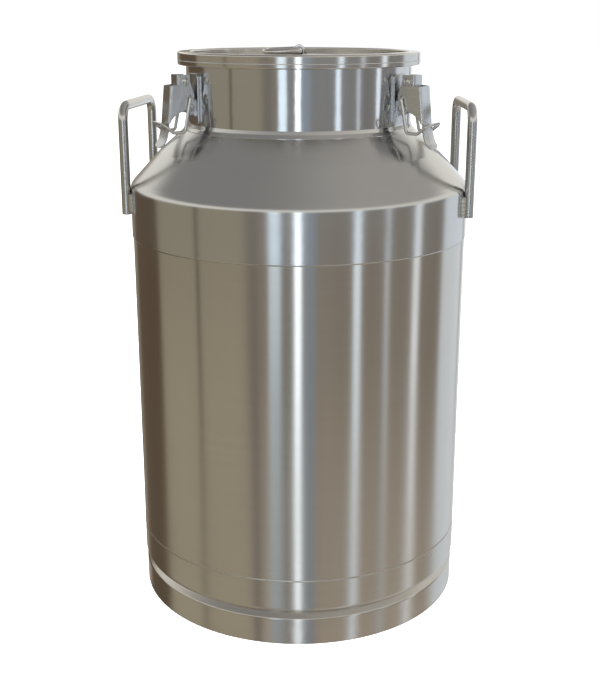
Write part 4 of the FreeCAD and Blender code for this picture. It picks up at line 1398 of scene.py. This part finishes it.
FINISHES: dict[Slot, Finish] = {
    Slot.BRUSHED_WALL: Finish((0.60, 0.57, 0.53), (0.49, 0.455, 0.41), 0.17, 0.92, fineness=1.6, grain=0.03,
                              bump=0.025, haze=0.02, marks=0.0, scratches=0.0, low_roughness=0.22),
    Slot.SHOULDER_SATIN: Finish((0.62, 0.612, 0.60), (0.54, 0.532, 0.52), 0.17, 0.75, fineness=2.2,
                                grain=0.02, bump=0.02, haze=0.04, marks=0.10, wave=0.03),
    Slot.NECK_POLISH: Finish((0.66, 0.655, 0.65), (0.58, 0.575, 0.57), 0.12, 0.6, fineness=2.0, grain=0.02,
                             bump=0.02, haze=0.02, marks=0.1, wave=0.05),
    Slot.TURNED_RIM: Finish((0.66, 0.64, 0.61), (0.56, 0.54, 0.51), 0.14, 0.75, fineness=2.4, radial=0.5,
                            grain=0.06, bump=0.06, haze=0.03, marks=0.3),
    Slot.FOOT_SATIN: Finish((0.60, 0.57, 0.53), (0.46, 0.43, 0.39), 0.20, 0.85, fineness=1.0, grain=0.045,
                            bump=0.08, haze=0.03, marks=0.25, scratches=0.0, wave=0.05),
    Slot.WELD_BEAD: Finish((0.62, 0.60, 0.56), (0.46, 0.43, 0.38), 0.32, 0.0, fineness=0.6, grain=0.1,
                           bump=0.2, haze=0.12, marks=1.0, scratches=0.3),
    Slot.HANDLE_ROD: Finish((0.62, 0.61, 0.59), (0.52, 0.51, 0.49), 0.16, 0.0, fineness=0.8, grain=0.03,
                            bump=0.03, haze=0.04, marks=0.5, scratches=0.6),
    Slot.LID_SHEET: Finish((0.62, 0.60, 0.57), (0.52, 0.50, 0.47), 0.16, 0.6, fineness=1.6, radial=1.0,
                           grain=0.04, bump=0.04),
    Slot.LID_FITTING: Finish((0.62, 0.60, 0.58), (0.50, 0.48, 0.46), 0.15, 0.0, grain=0.03, scratches=0.5),
    Slot.LATCH_SHEET: Finish((0.66, 0.67, 0.69), (0.55, 0.56, 0.58), 0.24, 0.0, fineness=0.7, grain=0.03,
                             bump=0.02, haze=0.05, marks=0.5, scratches=0.7, wave=0.25),
    Slot.LATCH_PIN: Finish((0.60, 0.59, 0.57), (0.46, 0.45, 0.43), 0.2, 0.0, grain=0.04, bump=0.05,
                           marks=0.6),
    Slot.LATCH_WIRE: Finish((0.64, 0.63, 0.62), (0.50, 0.49, 0.48), 0.13, 0.0, grain=0.03, scratches=0.6),
}


class MaterialLibrary:
    """Builds one node material for each slot."""

    def __init__(self) -> None:
        """Builds the shared groups."""
        self.groups = SurfaceGroups()

    def build(self) -> dict[Slot, bpy.types.Material]:
        """Makes every material."""
        made = {slot: self.metal(slot.value, finish) for slot, finish in FINISHES.items()}
        made[Slot.GASKET_RUBBER] = self.rubber(Slot.GASKET_RUBBER.value)
        LOG.info("%d materials", len(made))
        return made

    @staticmethod
    def blank(name: str) -> tuple[bpy.types.Material, Graph, bpy.types.Node]:
        """Material with a Principled shader on its output."""
        material = bpy.data.materials.new(name)
        material.use_nodes = True
        material.node_tree.nodes.clear()
        g = Graph(material.node_tree)
        shader = g.add("ShaderNodeBsdfPrincipled")
        g.feed(g.add("ShaderNodeOutputMaterial").inputs["Surface"], shader.outputs[0])
        return material, g, shader

    @staticmethod
    def group(g: Graph, tree: bpy.types.NodeTree, **values: float) -> bpy.types.Node:
        """Group node with its inputs set."""
        node = g.add("ShaderNodeGroup", node_tree=tree)
        for label, value in values.items():
            node.inputs[label].default_value = value
        return node

    def metal(self, name: str, f: Finish) -> bpy.types.Material:
        """Worked steel: colour and roughness varied by grain, haze, marks and scratches, with a fine bump."""
        material, g, shader = self.blank(name)
        grain = self.group(g, self.groups.grain, Fineness=f.fineness, Radial=f.radial)
        haze = self.group(g, self.groups.haze, Scale=1.0, Amount=f.marks)
        lines = self.group(g, self.groups.scratches, Amount=f.scratches)
        marks, scratches = haze.outputs["Marks"], lines.outputs["Scratches"]
        worn = g.maths("MAXIMUM", marks, g.times(scratches, 0.5), clamp=True)
        tone = g.times(haze.outputs["Haze"], f.haze * 6, clamp=True)
        tone = g.plus(tone, g.times(g.minus(grain.outputs["Coarse"], 0.5), 0.35),
                       clamp=True)
        colour = g.mix(tone, rgba(f.colour), rgba(f.dull_colour))
        colour = g.mix(worn, colour, rgba(f.dull_colour))
        g.feed(shader.inputs["Base Color"], colour)
        base: object = f.roughness
        if f.low_roughness is not None:
            parts = g.add("ShaderNodeSeparateXYZ")
            g.feed(parts.inputs[0], g.add("ShaderNodeTexCoord").outputs["Object"])
            base = g.ease(parts.outputs[2], f.low_at[0], f.low_at[1], f.low_roughness, f.roughness)
        shift = g.times(g.minus(grain.outputs["Grain"], 0.5), f.grain * 2)
        rough = g.plus(base, shift)
        rough = g.plus(rough, g.times(haze.outputs["Haze"], f.haze))
        rough = g.plus(rough, g.times(worn, 0.22), clamp=True)
        g.feed(shader.inputs["Roughness"], rough)
        shader.inputs["Metallic"].default_value = 1.0
        shader.inputs["Anisotropic"].default_value = f.anisotropy
        shader.inputs["Anisotropic Rotation"].default_value = f.rotation
        if f.anisotropy > 0:
            tangent = g.add("ShaderNodeTangent", direction_type="RADIAL", axis="Z")
            g.feed(shader.inputs["Tangent"], tangent.outputs[0])
        height = g.minus(grain.outputs["Grain"], g.times(scratches, 1.5))
        height = g.minus(height, g.times(marks, 1.2))
        bump = g.add("ShaderNodeBump")
        bump.inputs["Strength"].default_value = f.bump
        bump.inputs["Distance"].default_value = 0.2 * MM
        g.feed(bump.inputs["Height"], height)
        normal = bump.outputs[0]
        if f.wave > 0:
            place = g.add("ShaderNodeTexCoord").outputs["Object"]
            slow = g.add("ShaderNodeBump")
            slow.inputs["Strength"].default_value = f.wave
            slow.inputs["Distance"].default_value = 1.0 * MM
            g.feed(slow.inputs["Height"], g.noise(place, 90.0, 1.0, 0.4))
            g.feed(slow.inputs["Normal"], normal)
            normal = slow.outputs[0]
        g.feed(shader.inputs["Normal"], normal)
        return material

    def rubber(self, name: str) -> bpy.types.Material:
        """Matt food-grade rubber with a faint bloom."""
        material, g, shader = self.blank(name)
        haze = self.group(g, self.groups.haze, Scale=3.0, Amount=0.8)
        g.feed(shader.inputs["Base Color"], g.mix(haze.outputs["Haze"], rgba((0.46, 0.455, 0.44)),
                                                  rgba((0.38, 0.375, 0.36))))
        g.feed(shader.inputs["Roughness"], g.plus(0.5, g.times(haze.outputs["Haze"], 0.15)))
        bump = g.add("ShaderNodeBump")
        bump.inputs["Strength"].default_value = 0.2
        bump.inputs["Distance"].default_value = 0.2 * MM
        g.feed(bump.inputs["Height"], haze.outputs["Marks"])
        g.feed(shader.inputs["Normal"], bump.outputs[0])
        return material


# --------------------------------------------------------------------------------------------- studio
@dataclass(frozen=True)
class Strip:
    """An upright panel or gap in the studio: azimuth from the front towards +X, in degrees.

    The low gain multiplies its brightness near the floor.
    """

    azimuth: float
    half: float
    soft: float
    colour: Colour
    level: float = 1.0
    low_gain: float = 1.0


@dataclass(frozen=True)
class StudioSizes:
    """Camera, room tones and key light."""

    camera_at: tuple[float, float, float] = (0.001, -1.198, 0.6345)
    camera_pitch: float = 16.5
    lens_mm: float = 58.5
    room: Colour = (0.268, 0.235, 0.195)
    cool_room: Colour = (0.26, 0.26, 0.265)
    high_left: Colour = (0.29, 0.29, 0.285)
    high_right: Colour = (0.47, 0.455, 0.43)
    skyline: Colour = (0.92, 0.91, 0.85)
    floor_gain: float = 1.85
    floor_half: float = 20.0
    floor_glow: float = 0.8
    key_size: float = 3.0
    key_energy: float = 190
    dim: Colour = (0.90, 0.87, 0.84)
    lift: Colour = (1.09, 1.12, 1.13)
    strips: tuple[Strip, ...] = (
        Strip(-75, 38, 8, (0.33, 0.30, 0.23), 1.0, 1.35),
        Strip(-72, 1.5, 2, (0.14, 0.12, 0.09)),
        Strip(-30.5, 3, 3, (0.22, 0.20, 0.18)),
        Strip(-8, 2.5, 3, (0.26, 0.26, 0.26)),
        Strip(-16, 4, 2.5, (0.80, 0.94, 1.06), 1.5, 0.30),
        Strip(-0.8, 2.2, 1.6, (0.84, 0.95, 1.06), 3.0, 0.64),
        Strip(7, 4, 3, (0.78, 0.92, 1.08), 0.40, 0.85),
        Strip(39, 2.5, 2, (0.82, 0.94, 1.06), 1.5, 0.8),
        Strip(61, 2.0, 2, (0.90, 0.97, 1.05), 0.8, 0.8),
        Strip(86, 3.0, 2.5, (0.90, 0.97, 1.05), 1.3),
        Strip(132, 18, 6, (0.88, 0.95, 1.02), 0.9),
        Strip(166, 12, 6, (0.95, 0.98, 1.02), 0.95),
        Strip(-130, 20, 5, (0.13, 0.095, 0.065)),
    )


class Studio:
    """Camera, pale floor, soft key light and the room that the metal mirrors."""

    def __init__(self, sizes: StudioSizes = StudioSizes()) -> None:
        """Keeps the studio's sizes."""
        self.sizes = sizes

    def build(self) -> None:
        """Makes the whole studio."""
        self.camera()
        self.floor()
        self.key_light()
        self.room()
        bpy.context.scene.view_settings.view_transform = "Standard"

    def camera(self) -> None:
        """Camera in front of the can, looking slightly down."""
        data = bpy.data.cameras.new("camera")
        data.lens = self.sizes.lens_mm
        data.clip_end = 50
        made = bpy.data.objects.new("camera", data)
        made.location = self.sizes.camera_at
        made.rotation_euler = (math.radians(90 - self.sizes.camera_pitch), 0, 0)
        bpy.context.scene.collection.objects.link(made)
        bpy.context.scene.camera = made

    def floor(self) -> None:
        """Large pale floor, slightly uneven in tone; it isn't mirrored in the metal."""
        half = self.sizes.floor_half
        corners = np.array([[-half, -half, 0], [half, -half, 0], [half, half, 0], [-half, half, 0]], float)
        made = mesh_object("floor", Shape(corners, np.array([[0, 1, 2, 3]])))
        material = bpy.data.materials.new("pale_floor")
        material.use_nodes = True
        material.node_tree.nodes.clear()
        g = Graph(material.node_tree)
        place = g.add("ShaderNodeTexCoord").outputs["Object"]
        shader = g.add("ShaderNodeBsdfDiffuse")
        tone = g.mix(g.noise(place, 1.5), rgba((0.93, 0.93, 0.93)), rgba((0.96, 0.96, 0.96)))
        g.feed(shader.inputs[0], tone)
        glow = g.add("ShaderNodeEmission")
        g.feed(glow.inputs[0], rgba((1.0, 1.0, 1.0)))
        glow.inputs[1].default_value = self.sizes.floor_glow
        both = g.add("ShaderNodeAddShader")
        g.feed(both.inputs[0], shader.outputs[0])
        g.feed(both.inputs[1], glow.outputs[0])
        g.feed(g.add("ShaderNodeOutputMaterial").inputs["Surface"], both.outputs[0])
        made.data.materials.append(material)
        made.visible_glossy = False

    def key_light(self) -> None:
        """Large soft light overhead, which only the floor and the matt pieces see."""
        data = bpy.data.lights.new("key", "AREA")
        data.shape, data.size, data.energy = "DISK", self.sizes.key_size, self.sizes.key_energy
        made = bpy.data.objects.new("key", data)
        made.location = (0.2, -0.4, 2.8)
        made.rotation_euler = (math.radians(-8), math.radians(4), 0)
        made.visible_glossy = False
        bpy.context.scene.collection.objects.link(made)

    def room(self) -> None:
        """World by direction: strips of brightness round the can, an even tone above, white to the camera."""
        world = bpy.data.worlds.new("room")
        world.use_nodes = True
        world.node_tree.nodes.clear()
        g = Graph(world.node_tree)
        parts = g.add("ShaderNodeSeparateXYZ")
        g.feed(parts.inputs[0], g.add("ShaderNodeTexCoord").outputs["Generated"])
        x, y, z = parts.outputs
        azimuth = g.maths("DEGREES", g.maths("ARCTAN2", x, g.times(y, -1.0)))
        near_floor = g.ease(z, -0.46, -0.33, 1.0, 0.0)
        bright = tuple(self.sizes.floor_gain * part for part in self.sizes.room)
        cool = g.times(g.ease(z, -0.20, -0.10), g.ease(azimuth, -20.0, 5.0))
        walls = g.mix(cool, rgba(self.sizes.room), rgba(self.sizes.cool_room))
        colour = g.mix(near_floor, walls, rgba(bright))
        lowered = g.ease(z, -0.34, -0.19, 1.0, 0.0)
        direction = g.scaled(g.add("ShaderNodeTexCoord").outputs["Generated"], (1.0, 1.0, 0.35))
        cloud = g.ease(g.noise(direction, 9.0, 3.0, 0.6), 0.35, 0.65)
        colour = g.mix(cloud, g.mix(1.0, colour, rgba(self.sizes.dim), "MULTIPLY"),
                       g.mix(1.0, colour, rgba(self.sizes.lift), "MULTIPLY"))
        for strip in self.sizes.strips:
            away = g.maths("ABSOLUTE", g.maths("WRAP", g.minus(azimuth, strip.azimuth), 180.0, -180.0))
            inside = g.ease(away, max(strip.half - strip.soft / 2, 0), strip.half + strip.soft / 2, 1.0, 0.0)
            lit = tuple(strip.level * part for part in strip.colour)
            low = tuple(strip.low_gain * part for part in lit)
            colour = g.mix(inside, colour, g.mix(lowered, rgba(lit), rgba(low)))
        high = g.mix(g.ease(x, -0.45, 0.55), rgba(self.sizes.high_left), rgba(self.sizes.high_right))
        colour = g.mix(g.ease(z, 0.04, 0.16), colour, rgba(self.sizes.skyline))
        colour = g.mix(g.ease(z, 0.34, 0.56), colour, high)
        seen = g.add("ShaderNodeBackground")
        g.feed(seen.inputs[0], rgba((1.0, 1.0, 1.0)))
        mirrored = g.add("ShaderNodeBackground")
        g.feed(mirrored.inputs[0], colour)
        blend = g.add("ShaderNodeMixShader")
        g.feed(blend.inputs[0], g.add("ShaderNodeLightPath").outputs["Is Camera Ray"])
        g.feed(blend.inputs[1], mirrored.outputs[0])
        g.feed(blend.inputs[2], seen.outputs[0])
        g.feed(g.add("ShaderNodeOutputWorld").inputs[0], blend.outputs[0])
        bpy.context.scene.world = world


def main() -> None:
    """Builds the studio, the materials and every piece."""
    logging.basicConfig(level=logging.INFO, format="%(name)s %(message)s")
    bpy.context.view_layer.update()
    Studio().build()
    shop = Workshop(MaterialLibrary().build())
    CanBody(shop).build()
    for name, azimuth in HANDLE_AZIMUTHS.items():
        SideHandle(shop, name, azimuth).build()
    Lid(shop).build()
    for name, azimuth in LATCH_AZIMUTHS.items():
        Latch(shop, name, azimuth).build()
    LOG.info("%d pieces, %d faces", len(shop.made), sum(len(o.data.polygons) for o in shop.made))


if __name__ == "__main__":
    main()
